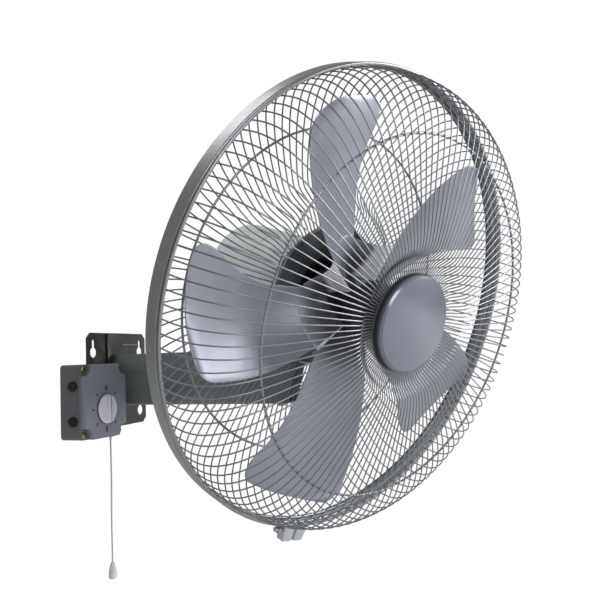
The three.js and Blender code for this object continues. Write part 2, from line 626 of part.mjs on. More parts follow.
const bandSides = 60;
const discFront = frontDisc.station + frontDisc.thickness;
const wireStep = (Math.PI * 2) / wires.count;
const rimRadius = band.radius - band.sheet - fit - rimWire.radius;
const rimReach = rimWire.radius * 0.866 + fit;
const wireReach = band.radius - band.lip - fit - wires.radius;
const frontWire = [[wireReach, rimReach - rimWire.inset], [232, 42], [frontRing.radius, 62.5]];
const rearWire = [[wireReach, rimWire.inset - band.width - rimReach],
  [rearRing.radius, -71.5], [128, -81]];

// All the wires of one guard and the ring or disc they run into, as one body. Each wire meets
// the ring's outer wall in a triangle: one corner at the front, two at the back.
function wireCage(points, { inner, outer, back, front, perSide }) {
  const corners = [];
  const face = (...ring) => range(ring.length - 2).forEach((i) =>
    corners.push(ring[0], ring[i + 1], ring[i + 2]));
  const spot = (radius, station, angle) =>
    v3(radius * Math.sin(angle), -station, radius * Math.cos(angle));
  const half = wires.radius * 0.866 / outer;
  const end = (i) => [spot(outer, front, i * wireStep), spot(outer, back, i * wireStep - half),
    spot(outer, back, i * wireStep + half)];
  range(wires.count).forEach((i) => {
    const rings = [...wireSections(points, i * wireStep), end(i)];
    face(...rings[0].toReversed());
    rings.slice(1).forEach((ring, k) => range(3).forEach((a) => {
      const b = (a + 1) % 3;
      face(rings[k][a], rings[k][b], ring[b], ring[a]);
    }));
  });
  const middle = Math.ceil(perSide / 2);
  range(wires.count / perSide).forEach((j) => {
    const [near, far] = [j, j + 1].map((k) => k * perSide * wireStep);
    const [p0, p1] = [near, far].map((angle) => spot(inner, front, angle));
    const [q0, q1] = [near, far].map((angle) => spot(inner, back, angle));
    range(perSide).forEach((t) => {
      const [c, , b] = end(j * perSide + t);
      const [nextC, nextA] = end(j * perSide + t + 1);
      const a = end(j * perSide + t)[1];
      const [p, q] = t < middle ? [p0, q0] : [p1, q1];
      face(b, c, nextC, nextA);
      face(nextC, c, p);
      face(a, b, q);
      face(b, nextA, q);
    });
    const [pivot, pivotBack] = end(j * perSide + middle);
    face(p0, p1, pivot);
    face(q1, q0, pivotBack);
    face(p1, p0, q0, q1);
  });
  return new THREE.BufferGeometry().setFromPoints(corners);
}

const rimRing = (station) => wireRing(rimRadius, station, rimWire.radius, 3, bandSides);
piece(head, 'front_guard', wireCoat, wireCage(frontWire, { inner: frontDisc.hole,
  outer: frontDisc.radius, back: frontDisc.station, front: discFront, perSide: 10 }));
piece(head, 'rear_guard', wireCoat, wireCage(rearWire, { inner: rearHub.radius - rearHub.wire,
  outer: rearHub.radius + rearHub.wire, back: rearHub.station - rearHub.wire,
  front: rearHub.station + rearHub.wire, perSide: 4 }));
piece(head, 'front_rim_ring', wireCoat, rimRing(-rimWire.inset));
piece(head, 'rear_rim_ring', wireCoat, rimRing(rimWire.inset - band.width));

// A ring wire lies inside the bend of the guard wires that it is welded to. A front wire's flat
// faces inwards and a rear wire's corner does, so their sections reach half as far or in full.
function shoulderRing(points, bend, side, reach) {
  const normal = v2(...points[bend + 1]).sub(v2(...points[bend - 1])).normalize()
    .rotateAround(v2(0, 0), side * Math.PI / 2);
  const [radius, station] = v2(...points[bend])
    .addScaledVector(normal, reach + fit + ringWire.radius);
  return wireRing(radius, station, ringWire.radius, ringWire.sides, 48);
}
piece(head, 'front_guard_ring', wireCoat, shoulderRing(
  [...frontWire, [frontDisc.radius, discFront]], 2, 1, wires.radius / 2));
piece(head, 'rear_guard_ring', wireCoat, shoulderRing(rearWire, 1, -1, wires.radius));

piece(head, 'guard_centre_plate', blackPlastic, turned(ringProfile(shield.boss + fit,
  centrePlate.radius, plateBack, plateFront), 30));
function guardNutRing() {
  const back = plateFront + fit;
  const ring = turned(ringProfile(shield.boss + fit, guardNut.radius - 3, back, guardNut.front), 24);
  const grips = range(guardNut.ribs).map((i) => block(-3, 3, -guardNut.front + 1, -back,
    guardNut.radius - 6, guardNut.radius).rotateY((i / guardNut.ribs) * Math.PI * 2));
  return join(ring, ...grips);
}
piece(head, 'guard_nut', greyPlastic, guardNutRing());

// ---------------------------------------------------------------- clamp band

// Two tapered lugs close the split band under the guard; a screw draws them together.
function bandLug(side) {
  const near = side * band.gap / 2;
  const ends = [[near, near + side * lug.length], [near, near + side * lug.length * lug.taper]];
  const middle = band.width / 2;
  const rings = ends.map(([a, b], i) => {
    const z = -band.radius + 1.5 - i * (lug.height + 1.5);
    const d = lug.depth / 2 * (i === 0 ? 1 : 0.85);
    return [v3(a, middle - d, z), v3(b, middle - d, z), v3(b, middle + d, z), v3(a, middle + d, z)];
  });
  return loft(rings);
}
const screwDrop = -band.radius - lug.height * 0.5;
const bandMiddle = band.width / 2;

function clampBand() {
  const { radius: r, width: w, sheet: t, lip } = band;
  const hoop = turned([[r, 0], [r - lip, 0], [r - lip, -1], [r - t, -1], [r - t, -w + 1],
    [r - lip, -w + 1], [r - lip, -w], [r, -w], [r, 0]], bandSides);
  const split = block(-band.gap / 2, band.gap / 2, -1, w + 1, -r - lug.height - 5, -r + lip + 3);
  const screwHole = rodX(lug.bore, -lug.length - 9, lug.length + 9, bandMiddle, screwDrop, 12);
  const inside = rodY(r - t, -1, w + 1, 0, 0, bandSides);
  const lugs = [bandLug(-1), bandLug(1)].map((side) => cut(side, inside));
  return cut(join(hoop, ...lugs), split, screwHole);
}
piece(head, 'guard_band', bandPaint, clampBand());

const lugEnd = band.gap / 2 + lug.length * (1 + lug.taper) / 2 + fit + 1;
piece(head, 'band_screw', bareSteel, join(
  rodX(4.2, lugEnd, lugEnd + 3.4, bandMiddle, screwDrop, 12),
  rodX(lug.bore - fit, -lugEnd - 8, lugEnd + 1, bandMiddle, screwDrop, 12)));
piece(head, 'band_nut', bareSteel, cut(
  rodX(4.6, -lugEnd - 4, -lugEnd, bandMiddle, screwDrop, 6),
  rodX(lug.bore, -lugEnd - 5, -lugEnd + 1, bandMiddle, screwDrop, 12)));

// ---------------------------------------------------------------- hub cap

const capBack = discFront + wires.radius;
function hubCap() {
  const { radius: r, rim, crown, wall: w, boss } = cap;
  const bossBack = discFront + fit;
  return turned([[0, crown], [22, crown - 1], [40, crown - 4], [r - 1.6, rim + 1.4],
    [r, rim - 1], [r, capBack], [r - w, capBack], [r - w, rim - 1.5],
    [40, crown - 6], [boss, crown - w - 1], [boss, bossBack],
    [frontDisc.hole, bossBack], [frontDisc.hole, crown - 6], [0, crown - 6]], 30);
}
piece(head, 'hub_cap', bluePaint, hubCap());
piece(head, 'cap_screw', bareSteel, turned([[0, frontDisc.station - fit - 2.6],
  [4.4, frontDisc.station - fit - 2.6], [4.4, frontDisc.station - fit],
  [frontDisc.hole - fit, frontDisc.station - fit], [frontDisc.hole - fit, cap.crown - 7],
  [0, cap.crown - 7]], 16));

// ---------------------------------------------------------------- rotor and impeller

piece(impeller, 'motor_shaft', bareSteel, turned([[0, shaft.rear], [shaft.radius, shaft.rear],
  [shaft.radius, shaft.front], [0, shaft.front]], 16));
piece(impeller, 'rotor_core', bareSteel, turned(ringProfile(shaft.radius + fit, rotor.radius,
  rotor.front - rotor.length, rotor.front), 20));

// Where the blade's sheet lies: across runs from 0 at the trailing edge to 1 at the leading edge.
function bladeEdge(edge, radius) {
  const q = (radius - bladeMiddle) / 100;
  const past = Math.max(0, radius - (blade.tip - edge.round));
  const inset = edge.round - Math.sqrt(edge.round ** 2 - past ** 2);
  const inward = edge === trailing ? 1 : -1;
  const angle = edge.angle + edge.sweep * q + edge.flare * q * q;
  return [radians(angle) + inward * inset / radius, edge.station + edge.rise * q];
}
function bladePoint(radius, across, lift) {
  const [a0, s0] = bladeEdge(trailing, radius);
  const [a1, s1] = bladeEdge(leading, radius);
  const angle = a0 + (a1 - a0) * across;
  const station = s0 + (s1 - s0) * across - blade.camber * 4 * across * (1 - across) + lift;
  return v3(radius * Math.sin(angle), -station, radius * Math.cos(angle));
}
const bladeStations = [blade.root, spider.reach, 125, 158, blade.tip - leading.round,
  blade.tip - 23, blade.tip - 9, blade.tip - 1.5];
const chordSteps = range(6).map((i) => i / 5);
function bladeSheet() {
  const half = blade.sheet / 2;
  return loft(bladeStations.map((r) => [...chordSteps.map((c) => bladePoint(r, c, half)),
    ...chordSteps.toReversed().map((c) => bladePoint(r, c, -half))]));
}
const bladeStep = (i) => (i / blade.count) * Math.PI * 2;
range(blade.count).forEach((i) => {
  piece(impeller, `blade_${i + 1}`, bluePaint, bladeSheet().rotateY(bladeStep(i)));
});

// The blades are riveted to the arms of a pressed spider, which lie against their backs.
function bladeSpider() {
  const drop = blade.sheet / 2 + spider.gap + spider.sheet / 2;
  const armRing = (radius) => {
    const [a0] = bladeEdge(trailing, radius);
    const [a1] = bladeEdge(leading, radius);
    const reach = Math.min(0.3, spider.armWidth / 2 / ((a1 - a0) * radius));
    const across = [-1, 0, 1].map((k) => 0.5 + k * reach);
    return [...across.map((c) => bladePoint(radius, c, -drop + spider.sheet / 2)),
      ...across.toReversed().map((c) => bladePoint(radius, c, -drop - spider.sheet / 2))];
  };
  const bladeArm = loft([12, blade.root, spider.reach].map(armRing));
  const collar = turned([[shaft.radius + fit, spider.collarBack], [spider.collar, spider.collarBack],
    [spider.collar + 6, -22], [spider.collar + 6, -14], [spider.collar, spider.collarFront],
    [shaft.radius + fit, spider.collarFront], [shaft.radius + fit, spider.collarBack]], 20);
  const bore = rodY(shaft.radius + fit, -10, 50, 0, 0);
  const arms = range(blade.count).map((i) => bladeArm.clone().rotateY(bladeStep(i)));
  return cut(join(collar, ...arms), bore);
}
piece(impeller, 'blade_spider', paleCasting, bladeSpider());

piece(impeller, 'spinner_nut', blackPlastic, turned([[shaft.radius + fit, spinner.back],
  [spinner.radius, spinner.back], [spinner.radius, spinner.back + 6], [spinner.radius - 6,
    spinner.front - 6], [spinner.radius - 14, spinner.front], [0, spinner.front],
  [0, shaft.front + 1], [shaft.radius + fit, shaft.front + 1],
  [shaft.radius + fit, spinner.back]], 24));

export default fan;
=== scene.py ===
# %% [markdown]
# # A wall fan, dressed for its portrait
# The fan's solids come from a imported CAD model, which fixes every size and every hinge. This
# lesson gives them their real look: round guard wires, rolled sheet edges, paint, plastic and
# plated screws. Nothing here moves a solid. A piece is either the CAD node with a better finish,
# or a finer piece that stands in the same place and rides on the same body.

# %% Load the frame
import math
import bmesh
import bpy
from mathutils import Matrix, Vector


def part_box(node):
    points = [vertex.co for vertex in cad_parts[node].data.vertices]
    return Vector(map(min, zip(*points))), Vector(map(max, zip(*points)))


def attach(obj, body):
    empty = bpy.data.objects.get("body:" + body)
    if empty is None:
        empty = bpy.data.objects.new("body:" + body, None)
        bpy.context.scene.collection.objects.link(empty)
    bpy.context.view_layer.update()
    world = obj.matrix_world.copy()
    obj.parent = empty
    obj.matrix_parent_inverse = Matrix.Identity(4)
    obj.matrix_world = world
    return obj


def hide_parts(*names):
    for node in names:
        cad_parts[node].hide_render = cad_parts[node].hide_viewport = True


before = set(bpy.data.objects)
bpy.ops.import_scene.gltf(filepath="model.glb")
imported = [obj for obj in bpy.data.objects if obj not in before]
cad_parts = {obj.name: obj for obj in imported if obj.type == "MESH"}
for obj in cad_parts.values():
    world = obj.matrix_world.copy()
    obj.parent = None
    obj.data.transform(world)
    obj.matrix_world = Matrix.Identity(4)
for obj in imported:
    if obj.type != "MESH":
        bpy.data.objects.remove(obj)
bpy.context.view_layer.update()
scene = bpy.context.scene
MM = 0.001

# %% [markdown]
# ## The camera
# A pinhole camera was fitted to the photograph, so it is written here as the fit gave it: a
# place, two angles and a slight roll. The focal length in pixels becomes a lens in millimetres
# for a 36 mm sensor across 600 pixels. The picture's centre lies a little off the lens's axis,
# and a small lens shift says so.

# %% Make the camera
picture_px, sensor_mm = 600, 36
focal_px, centre_x_px, centre_y_px = 711.4, 315.7, 315.0
camera_place = Vector((-812.9, -593.1, 24.5))
azimuth, elevation, roll = math.radians(-69.6), math.radians(-3.2), math.radians(-1.9)
forward = Vector((-math.sin(azimuth) * math.cos(elevation),
                  math.cos(azimuth) * math.cos(elevation), math.sin(-elevation)))
level_right = forward.cross(Vector((0, 0, 1))).normalized()
level_up = level_right.cross(forward)
right = level_right * math.cos(roll) + level_up * math.sin(roll)
up = level_up * math.cos(roll) - level_right * math.sin(roll)

camera = bpy.data.objects.new("camera", bpy.data.cameras.new("camera"))
scene.collection.objects.link(camera)
camera.matrix_world = Matrix.Translation(camera_place * MM) @ Matrix(
    (right, up, -forward)).transposed().to_4x4()
camera.data.sensor_width = sensor_mm
camera.data.lens = focal_px / picture_px * sensor_mm
camera.data.shift_x = -(centre_x_px - picture_px / 2) / picture_px
camera.data.shift_y = (centre_y_px - picture_px / 2) / picture_px
camera.data.clip_start, camera.data.clip_end = 0.01, 50
scene.camera = camera
print("lens", round(camera.data.lens, 2), "mm")

# %% [markdown]
# ## Shader maths in plain Python
# A material in Blender is a graph of nodes. Wiring it by hand hides the idea, so one small class
# wraps a node's output and lets `1 - mask` or `grain * 0.3` add the Math node. Colours and
# vectors must not pass through a Math node, which would turn them grey, so they are mixed with
# Mix and Vector Math nodes by name.

# %% A socket that can be calculated with
class Signal:
    """One output of a material's node graph."""

    def __init__(self, finish, socket):
        self.finish = finish
        self.socket = socket

    def combine(self, operation, first, second):
        return self.finish.node("ShaderNodeMath", {"operation": operation},
                                {0: first, 1: second})

    def __add__(self, other):
        return self.combine("ADD", self, other)

    def __radd__(self, other):
        return self.combine("ADD", other, self)

    def __sub__(self, other):
        return self.combine("SUBTRACT", self, other)

    def __rsub__(self, other):
        return self.combine("SUBTRACT", other, self)

    def __mul__(self, other):
        return self.combine("MULTIPLY", self, other)

    def __rmul__(self, other):
        return self.combine("MULTIPLY", other, self)


# %% [markdown]
# A finish starts from the Principled shader. Plain numbers go straight on its sockets. What
# varies over the surface is fed in as a signal, and only into sockets that can be baked: colour,
# roughness, metalness, coat weight and the normal.

# %% A finish and its nodes
class Finish:
    """A Principled material whose nodes are added by name."""

    def __init__(self, name, colour, roughness, metallic=0.0, **sockets):
        self.material = bpy.data.materials.new(name)
        self.material.use_nodes = True
        self.tree = self.material.node_tree
        self.shader = self.tree.nodes["Principled BSDF"]
        self.shader.inputs["Base Color"].default_value = (*colour, 1)
        self.shader.inputs["Roughness"].default_value = roughness
        self.shader.inputs["Metallic"].default_value = metallic
        for socket, value in sockets.items():
            self.shader.inputs[socket.replace("_", " ")].default_value = value
        self.place = self.node("ShaderNodeTexCoord", output="Object")

    def plug(self, target, value):
        if isinstance(value, Signal):
            self.tree.links.new(value.socket, target)
        else:
            target.default_value = value

    def node(self, kind, settings=None, sockets=None, output=0):
        made = self.tree.nodes.new(kind)
        for name, value in (settings or {}).items():
            if name == "stops":
                ramp = made.color_ramp.elements
                while len(ramp) < len(value):
                    ramp.new(0.5)
                for element, (position, colour) in zip(ramp, value):
                    element.position = position
                    element.color = colour
            else:
                setattr(made, name, value)
        for name, value in (sockets or {}).items():
            self.plug(made.inputs[name], value)
        return Signal(self, made.outputs[output])

    def feed(self, socket, value):
        self.plug(self.shader.inputs[socket], value)
        return self


# %% [markdown]
# Three helpers cover most of what paint and plastic do: cloudy noise for uneven colour, a mix of
# two colours by a mask, and a shallow bump for orange peel, grain or weave.

# %% Noise, mixed colour and bump
def linear(red, green, blue):
    """A colour read as 0 to 255 on screen, turned into Blender's linear light."""
    def one(value):
        v = value / 255
        return v / 12.92 if v <= 0.04045 else ((v + 0.055) / 1.055) ** 2.4
    return (one(red), one(green), one(blue))


def clouds(finish, size_mm, detail=2.0, rough=0.5, stretch=(1, 1, 1)):
    place = finish.node("ShaderNodeVectorMath", {"operation": "MULTIPLY"},
                        {0: finish.place, 1: stretch})
    return finish.node("ShaderNodeTexNoise", {}, {"Vector": place, "Scale": 1 / (size_mm * MM),
                                                  "Detail": detail, "Roughness": rough})


def mask(finish, signal, low, high):
    return finish.node("ShaderNodeMapRange", {}, {"Value": signal, "From Min": low,
                                                  "From Max": high})


def mixed(finish, share, first, second):
    return finish.node("ShaderNodeMix", {"data_type": "RGBA"},
                       {0: share, 6: (*first, 1) if isinstance(first, tuple) else first,
                        7: (*second, 1) if isinstance(second, tuple) else second}, output=2)


def bumped(finish, height, depth_mm, strength):
    normal = finish.node("ShaderNodeBump", {}, {"Height": height, "Strength": strength,
                                                "Distance": depth_mm * MM})
    return finish.feed("Normal", normal)


# %% [markdown]
# ## Paints
# Sprayed enamel is never one flat colour: the coat varies a little in thickness, dust settles in
# it, and its surface has a faint orange peel. Each paint here gets a cloudy shift of colour, a
# little roughness variation from a finer noise, and a shallow bump. Two of them also fade to a
# darker colour near the wall, which is painted shade.

# %% Painted steel finishes
def enamel(name, colour, roughness, metallic=0.0, spread=0.12, peel_mm=0.02, coat=0.0,
           dust=0.0, wall_shade_painted=None):
    """The last argument paints shade near the wall: a darker colour and two distances from the
    wall.
    """
    paint = Finish(name, colour, roughness, metallic, Coat_Weight=coat, Coat_Roughness=0.15)
    cloud = mask(paint, clouds(paint, 45, 3), 0.35, 0.65)
    dull = tuple(c * (1 - spread) for c in colour)
    bright = tuple(min(1, c * (1 + spread)) for c in colour)
    specks = mask(paint, clouds(paint, 0.9, 1), 0.66, 0.72)
    base = mixed(paint, cloud, dull, bright)
    tone = mixed(paint, specks * dust, base, tuple(c * 0.5 for c in colour))
    # Painted shade: near the wall the colour fades to a darker one.
    if wall_shade_painted:
        from_wall = paint.node("ShaderNodeSeparateXYZ", {}, {0: paint.place}, output=1) * -1
        second, start_mm, end_mm = wall_shade_painted
        tone = mixed(paint, mask(paint, from_wall, start_mm * MM, end_mm * MM), second, tone)
    paint.feed("Base Color", tone)
    smear = clouds(paint, 18, 4, 0.6)
    paint.feed("Roughness", mask(paint, smear, 0.2, 0.8) * 0.12 + (roughness - 0.06))
    return bumped(paint, clouds(paint, 1.4, 2), peel_mm, 0.5) if peel_mm else paint


# The arm has the wall plate's dark paint; its paler grey is painted light on its side, fading to
# painted shade near the wall.
lit_arm_enamel = enamel("lit_arm_enamel", linear(120, 126, 126), 0.45, 0.1, 0.14, 0.03, dust=0.2,
                    wall_shade_painted=(linear(50, 52, 52), 7, 17))
plate_enamel = enamel("plate_enamel", linear(50, 52, 50), 0.52, 0.1, 0.12, 0.03, dust=0.2)
# The cover's flanks fade to a darker grey near the wall: painted shade on its sides.
box_enamel = enamel("box_enamel", linear(138, 141, 151), 0.44, 0.05, 0.07, 0.03, dust=0.12,
                    wall_shade_painted=(linear(98, 99, 102), 29, 37))
# The base has the cover's paint; this darker grey is painted shade on the box's side face.
shaded_box_enamel = enamel("shaded_box_enamel", linear(98, 99, 101), 0.5, 0.05, 0.07, 0.03, dust=0.12)
blade_paint = enamel("blade_paint", linear(147, 150, 160), 0.37, 0.55, 0.04, 0.004)
cap_paint = enamel("cap_paint", linear(107, 111, 123), 0.32, 0.4, 0.03, 0.0, coat=0.7)
skirt_paint = enamel("skirt_paint", linear(44, 46, 54), 0.4, 0.2, 0.05, 0.01)
motor_paint = enamel("motor_paint", linear(238, 245, 243), 0.5, 0.0, 0.05, 0.05, dust=0.1)
shield_paint = enamel("shield_paint", linear(78, 82, 84), 0.5, 0.1, 0.2, 0.04)
print("enamel seen on the arm", lit_arm_enamel.material.name)

# %% [markdown]
# ## Coated wire and the clamp band
# The guard wires are dipped in a metallic grey coat, and the band is sheet steel sprayed with the
# same colour but glossier. Both are mostly metal, so that they catch a light's edge. The band's
# inside and its lugs have the same coat, painted paler and less metallic as painted light.

# %% Wire and band finishes
band_coat = enamel("band_coat", linear(148, 150, 152), 0.36, 0.8, 0.04, 0.0)
band_inside_painted_light = enamel("band_inside_painted_light", linear(204, 207, 212), 0.5, 0.2, 0.06, 0.0)
lug_painted_light = enamel("lug_painted_light", linear(188, 191, 197), 0.42, 0.3, 0.04, 0.0)
wire_coat = enamel("wire_coat", linear(140, 142, 145), 0.34, 0.8, 0.06, 0.0)


def plated(name, colour, roughness, streak):
    metal = Finish(name, colour, roughness, 1.0)
    brushed_by = clouds(metal, 0.5, 2, 0.6, streak)
    metal.feed("Roughness", mask(metal, brushed_by, 0.3, 0.7) * 0.18 + (roughness - 0.09))
    stain = mask(metal, clouds(metal, 6, 3), 0.5, 0.8)
    metal.feed("Base Color", mixed(metal, stain * 0.5, colour, tuple(c * 0.6 for c in colour)))
    return bumped(metal, brushed_by, 0.01, 0.4)


steel = plated("machined_steel", linear(190, 192, 194), 0.32, (1, 1, 0.15))
yellow_zinc = plated("yellow_zinc", linear(158, 148, 112), 0.36, (1, 1, 1))
copper_wire = plated("copper_winding", linear(176, 106, 66), 0.4, (1, 0.1, 1))
print("metal finishes", [f.material.name for f in (steel, yellow_zinc, copper_wire)])

# %% [markdown]
# ## Plastics, rubber and cord
# Moulded plastic copies the fine grain of its mould, so it gets a sub-millimetre bump and almost
# no colour change. The cord is braided: two wave textures that cross at an angle make the
# strands.

# %% Moulded and woven finishes
def moulded(name, colour, roughness, grain_mm=0.35, depth_mm=0.02):
    plastic = Finish(name, colour, roughness, 0.0)
    grain = clouds(plastic, grain_mm, 2, 0.6)
    cloud = mask(plastic, clouds(plastic, 12, 2), 0.35, 0.65)
    plastic.feed("Base Color", mixed(plastic, cloud, tuple(c * 0.94 for c in colour), colour))
    plastic.feed("Roughness", grain * 0.2 + (roughness - 0.1))
    return bumped(plastic, grain, depth_mm, 0.5)


black_plastic = moulded("black_plastic", linear(30, 31, 33), 0.5)
shade_plastic = moulded("shade_plastic", linear(158, 154, 165), 0.5)
grey_plastic = moulded("grey_plastic", linear(118, 122, 126), 0.5)
knob_plastic = moulded("knob_plastic", linear(234, 229, 242), 0.38, 0.3, 0.01)
pale_plastic = moulded("pale_plastic", linear(206, 206, 204), 0.4)
plug_rubber = moulded("plug_rubber", linear(12, 12, 13), 0.7, 0.5, 0.03)

braid = Finish("cord_braid", linear(214, 212, 204), 0.85)
strand_a = braid.node("ShaderNodeTexWave", {"bands_direction": "DIAGONAL"},
                      {"Vector": braid.place, "Scale": 260.0})
strand_b = braid.node("ShaderNodeTexWave", {"bands_direction": "Z"},
                      {"Vector": braid.place, "Scale": 420.0})
weave = strand_a * strand_b
braid.feed("Base Color", mixed(braid, weave, linear(168, 165, 156), linear(222, 220, 212)))
bumped(braid, weave, 0.15, 0.8)
print("woven finish", braid.material.name)

# %% [markdown]
# Two pieces behind the impeller's hub are painted dark near the axis, as painted shade, and paler
# outside. A mask that grows with the distance from the axis makes that split. Each piece has its
# own axis on the local Y axis, so the distance comes from X and Z.

# %% A finish that changes with the distance from the axis
def axis_distance(finish):
    flat = finish.node("ShaderNodeVectorMath", {"operation": "MULTIPLY"},
                       {0: finish.place, 1: (1, 0, 1)})
    return finish.node("ShaderNodeVectorMath", {"operation": "LENGTH"}, {0: flat}, output=1)


def ringed(name, painted_shade_inner, outer, radius_mm, width_mm, roughness, speckle):
    finish = Finish(name, outer, roughness, 0.1)
    inside, outside = (radius_mm - width_mm / 2) * MM, (radius_mm + width_mm / 2) * MM
    share = mask(finish, axis_distance(finish), inside, outside)
    grain = mask(finish, clouds(finish, 1.1, 2), 0.45, 0.62)
    rough_outer = mixed(finish, grain * speckle, outer, tuple(c * 0.45 for c in outer))
    finish.feed("Base Color", mixed(finish, share, painted_shade_inner, rough_outer))
    return bumped(finish, grain, 0.12, 0.5)


# Near the axis both are painted near-black: painted shade behind the hub.
spider_cast = ringed("spider_cast", linear(46, 47, 50), linear(104, 106, 110), 47, 6, 0.55, 0.3)
plate_moulding = ringed("plate_moulding", linear(18, 18, 20), linear(96, 102, 101), 47, 3, 0.5,
                        0.2)
nut_plastic = moulded("nut_plastic", linear(70, 66, 70), 0.5)
print("ringed finishes", spider_cast.material.name, plate_moulding.material.name)

# %% [markdown]
# ## Where the head sits
# Most of the fan is built round the motor's axis, which is tilted down and swung aside in the
# rest pose. One matrix takes points from the head's own frame to the row's: `r` and `station`,
# the distance in front of the guard's rim, are all that a turned piece needs.

# %% The head's own frame
rest_tilt, rest_swing, rest_spin = 19.5, -24.6, -18.8
tilt_hinge, rim_from_hinge = Vector((0, -200, 20)), Vector((0, -160, 108))
head_frame = (Matrix.Translation(tilt_hinge * MM)
              @ Matrix.Rotation(math.radians(rest_tilt), 4, "X")
              @ Matrix.Rotation(math.radians(rest_swing), 4, "Z")
              @ Matrix.Translation(rim_from_hinge * MM))
rotor_frame = head_frame @ Matrix.Rotation(math.radians(rest_spin), 4, "Y")


def polar(radius, station, angle):
    """A point of the head's frame; the angle runs clockwise from the top, seen from in front."""
    return Vector((radius * math.sin(angle), -station, radius * math.cos(angle))) * MM


def add_piece(name, mesh, finish, body, place=Matrix.Identity(4), nodes=(),
              own_axes=False):
    """A piece built in the frame `place`. With own_axes its texture keeps that frame too."""
    mesh.materials.clear()
    mesh.materials.append(finish.material)
    piece = bpy.data.objects.new(name, mesh)
    scene.collection.objects.link(piece)
    if own_axes:
        piece.matrix_world = place
    else:
        mesh.transform(place)
    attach(piece, body)
    if nodes:
        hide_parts(*nodes)
    return piece


def smoothed(mesh, degrees=35):
    mesh.shade_smooth()
    mesh.set_sharp_from_angle(angle=math.radians(degrees))
    return mesh


def mesh_of(name, points, faces, degrees=35):
    mesh = bpy.data.meshes.new(name)
    mesh.from_pydata([tuple(p) for p in points], [], faces)
    mesh.validate()
    build = bmesh.new()
    build.from_mesh(mesh)
    bmesh.ops.remove_doubles(build, verts=build.verts, dist=1e-7)
    bmesh.ops.recalc_face_normals(build, faces=build.faces)
    build.to_mesh(mesh)
    build.free()
    return smoothed(mesh, degrees)


print("motor axis runs along", [round(v, 3) for v in (head_frame.to_3x3() @ Vector((0, -1, 0)))])

# %% [markdown]
# ## The pull cord
# The cord is a fixed length of thin braid that hangs from the link under the switch box and ends
# in its bell. A curve with a round bevel is the natural way to make one: its points repeat the
# route that the CAD tube follows, so the two lie in the same place.

# %% Hang the pull cord
cord_x, cord_y, cord_top, cord_bottom = -46, -22.2, -75.8, -229
cord_radius, cord_sway, cord_steps = 0.95, 0.6, 20
cord_points = []
for step in range(cord_steps + 1):
    t = step / cord_steps
    wander = cord_sway * math.sin(t * math.pi * 2) * math.sin(t * math.pi)
    cord_points.append(Vector((cord_x + wander, cord_y,
                               cord_top + (cord_bottom - cord_top) * t)) * MM)
cord_curve = bpy.data.curves.new("pull_cord_line", "CURVE")
cord_curve.dimensions = "3D"
cord_curve.bevel_depth = cord_radius * MM
cord_curve.bevel_resolution = 4
cord_curve.use_fill_caps = True
line = cord_curve.splines.new("POLY")
line.points.add(len(cord_points) - 1)
for control, point in zip(line.points, cord_points):
    control.co = (*point, 1)
cord_curve.materials.append(braid.material)
pull_cord = bpy.data.objects.new("pull_cord_braid", cord_curve)
scene.collection.objects.link(pull_cord)
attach(pull_cord, "pull")
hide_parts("pull_cord")

# %% [markdown]
# ## Turned pieces
# The cap, the motor's shell, the spinner and every ring are lathe work: a profile turned about an
# axis. The CAD solids are cut to a few dozen facets, so each one in view is turned again here with
# enough segments to look round.

# %% A lathe
def turned(name, profile, segments=128, degrees=35, point_at=polar):
    """profile is a closed loop or starts and ends on the axis, as (radius, station) pairs."""
    points, faces = [], []
    for k in range(segments):
        angle = 2 * math.pi * k / segments
        points += [point_at(r, s, angle) for r, s in profile]
    count = len(profile)
    for k in range(segments):
        near, far = k * count, ((k + 1) % segments) * count
        faces += [(near + i, near + i + 1, far + i + 1, far + i) for i in range(count - 1)]
    return mesh_of(name, points, faces, degrees)


def arc(radius, station, size, first, last, steps=5):
    """Profile points on a small fillet, angles in degrees in the (radius, station) plane."""
    turns = [math.radians(first + (last - first) * k / steps) for k in range(steps + 1)]
    return [(radius + size * math.cos(a), station + size * math.sin(a)) for a in turns]


def boxed(name, low, high, round_mm=0.0, segments=3):
    """A block between two corners in mm, with its edges rounded."""
    build = bmesh.new()
    bmesh.ops.create_cube(build, size=1)
    for vertex in build.verts:
        vertex.co = Vector([MM * (lo + (hi - lo) * (c + 0.5))
                            for c, lo, hi in zip(vertex.co, low, high)])
    if round_mm:
        bmesh.ops.bevel(build, geom=build.edges[:], offset=round_mm * MM, segments=segments,
                        affect="EDGES", profile=0.5)
    mesh = bpy.data.meshes.new(name)
    build.to_mesh(mesh)
    build.free()
    return smoothed(mesh)


# %% [markdown]
# Some shapes are lathe work with a few cuts, such as a screw head's cross or a shell's slots. A
# boolean modifier makes the cut, and its result is kept as a plain mesh.

# %% Cut and soften
def kept_result(piece):
    """The mesh of a helper object with its modifiers applied; the helper is removed."""
    view = bpy.context.evaluated_depsgraph_get()
    mesh = bpy.data.meshes.new_from_object(piece.evaluated_get(view))
    bpy.data.objects.remove(piece)
    return mesh


def helper_object(mesh):
    helper = bpy.data.objects.new("helper", mesh)
    scene.collection.objects.link(helper)
    return helper


def cut_by(mesh, tools, degrees=35):
    body = helper_object(mesh)
    made = [helper_object(tool) for tool in tools]
    for tool in made:
        step = body.modifiers.new("cut", "BOOLEAN")
        step.operation = "DIFFERENCE"
        step.solver = "EXACT"
        step.object = tool
    bpy.context.view_layer.update()
    result = kept_result(body)
    for tool in made:
        bpy.data.objects.remove(tool)
    return smoothed(result, degrees)


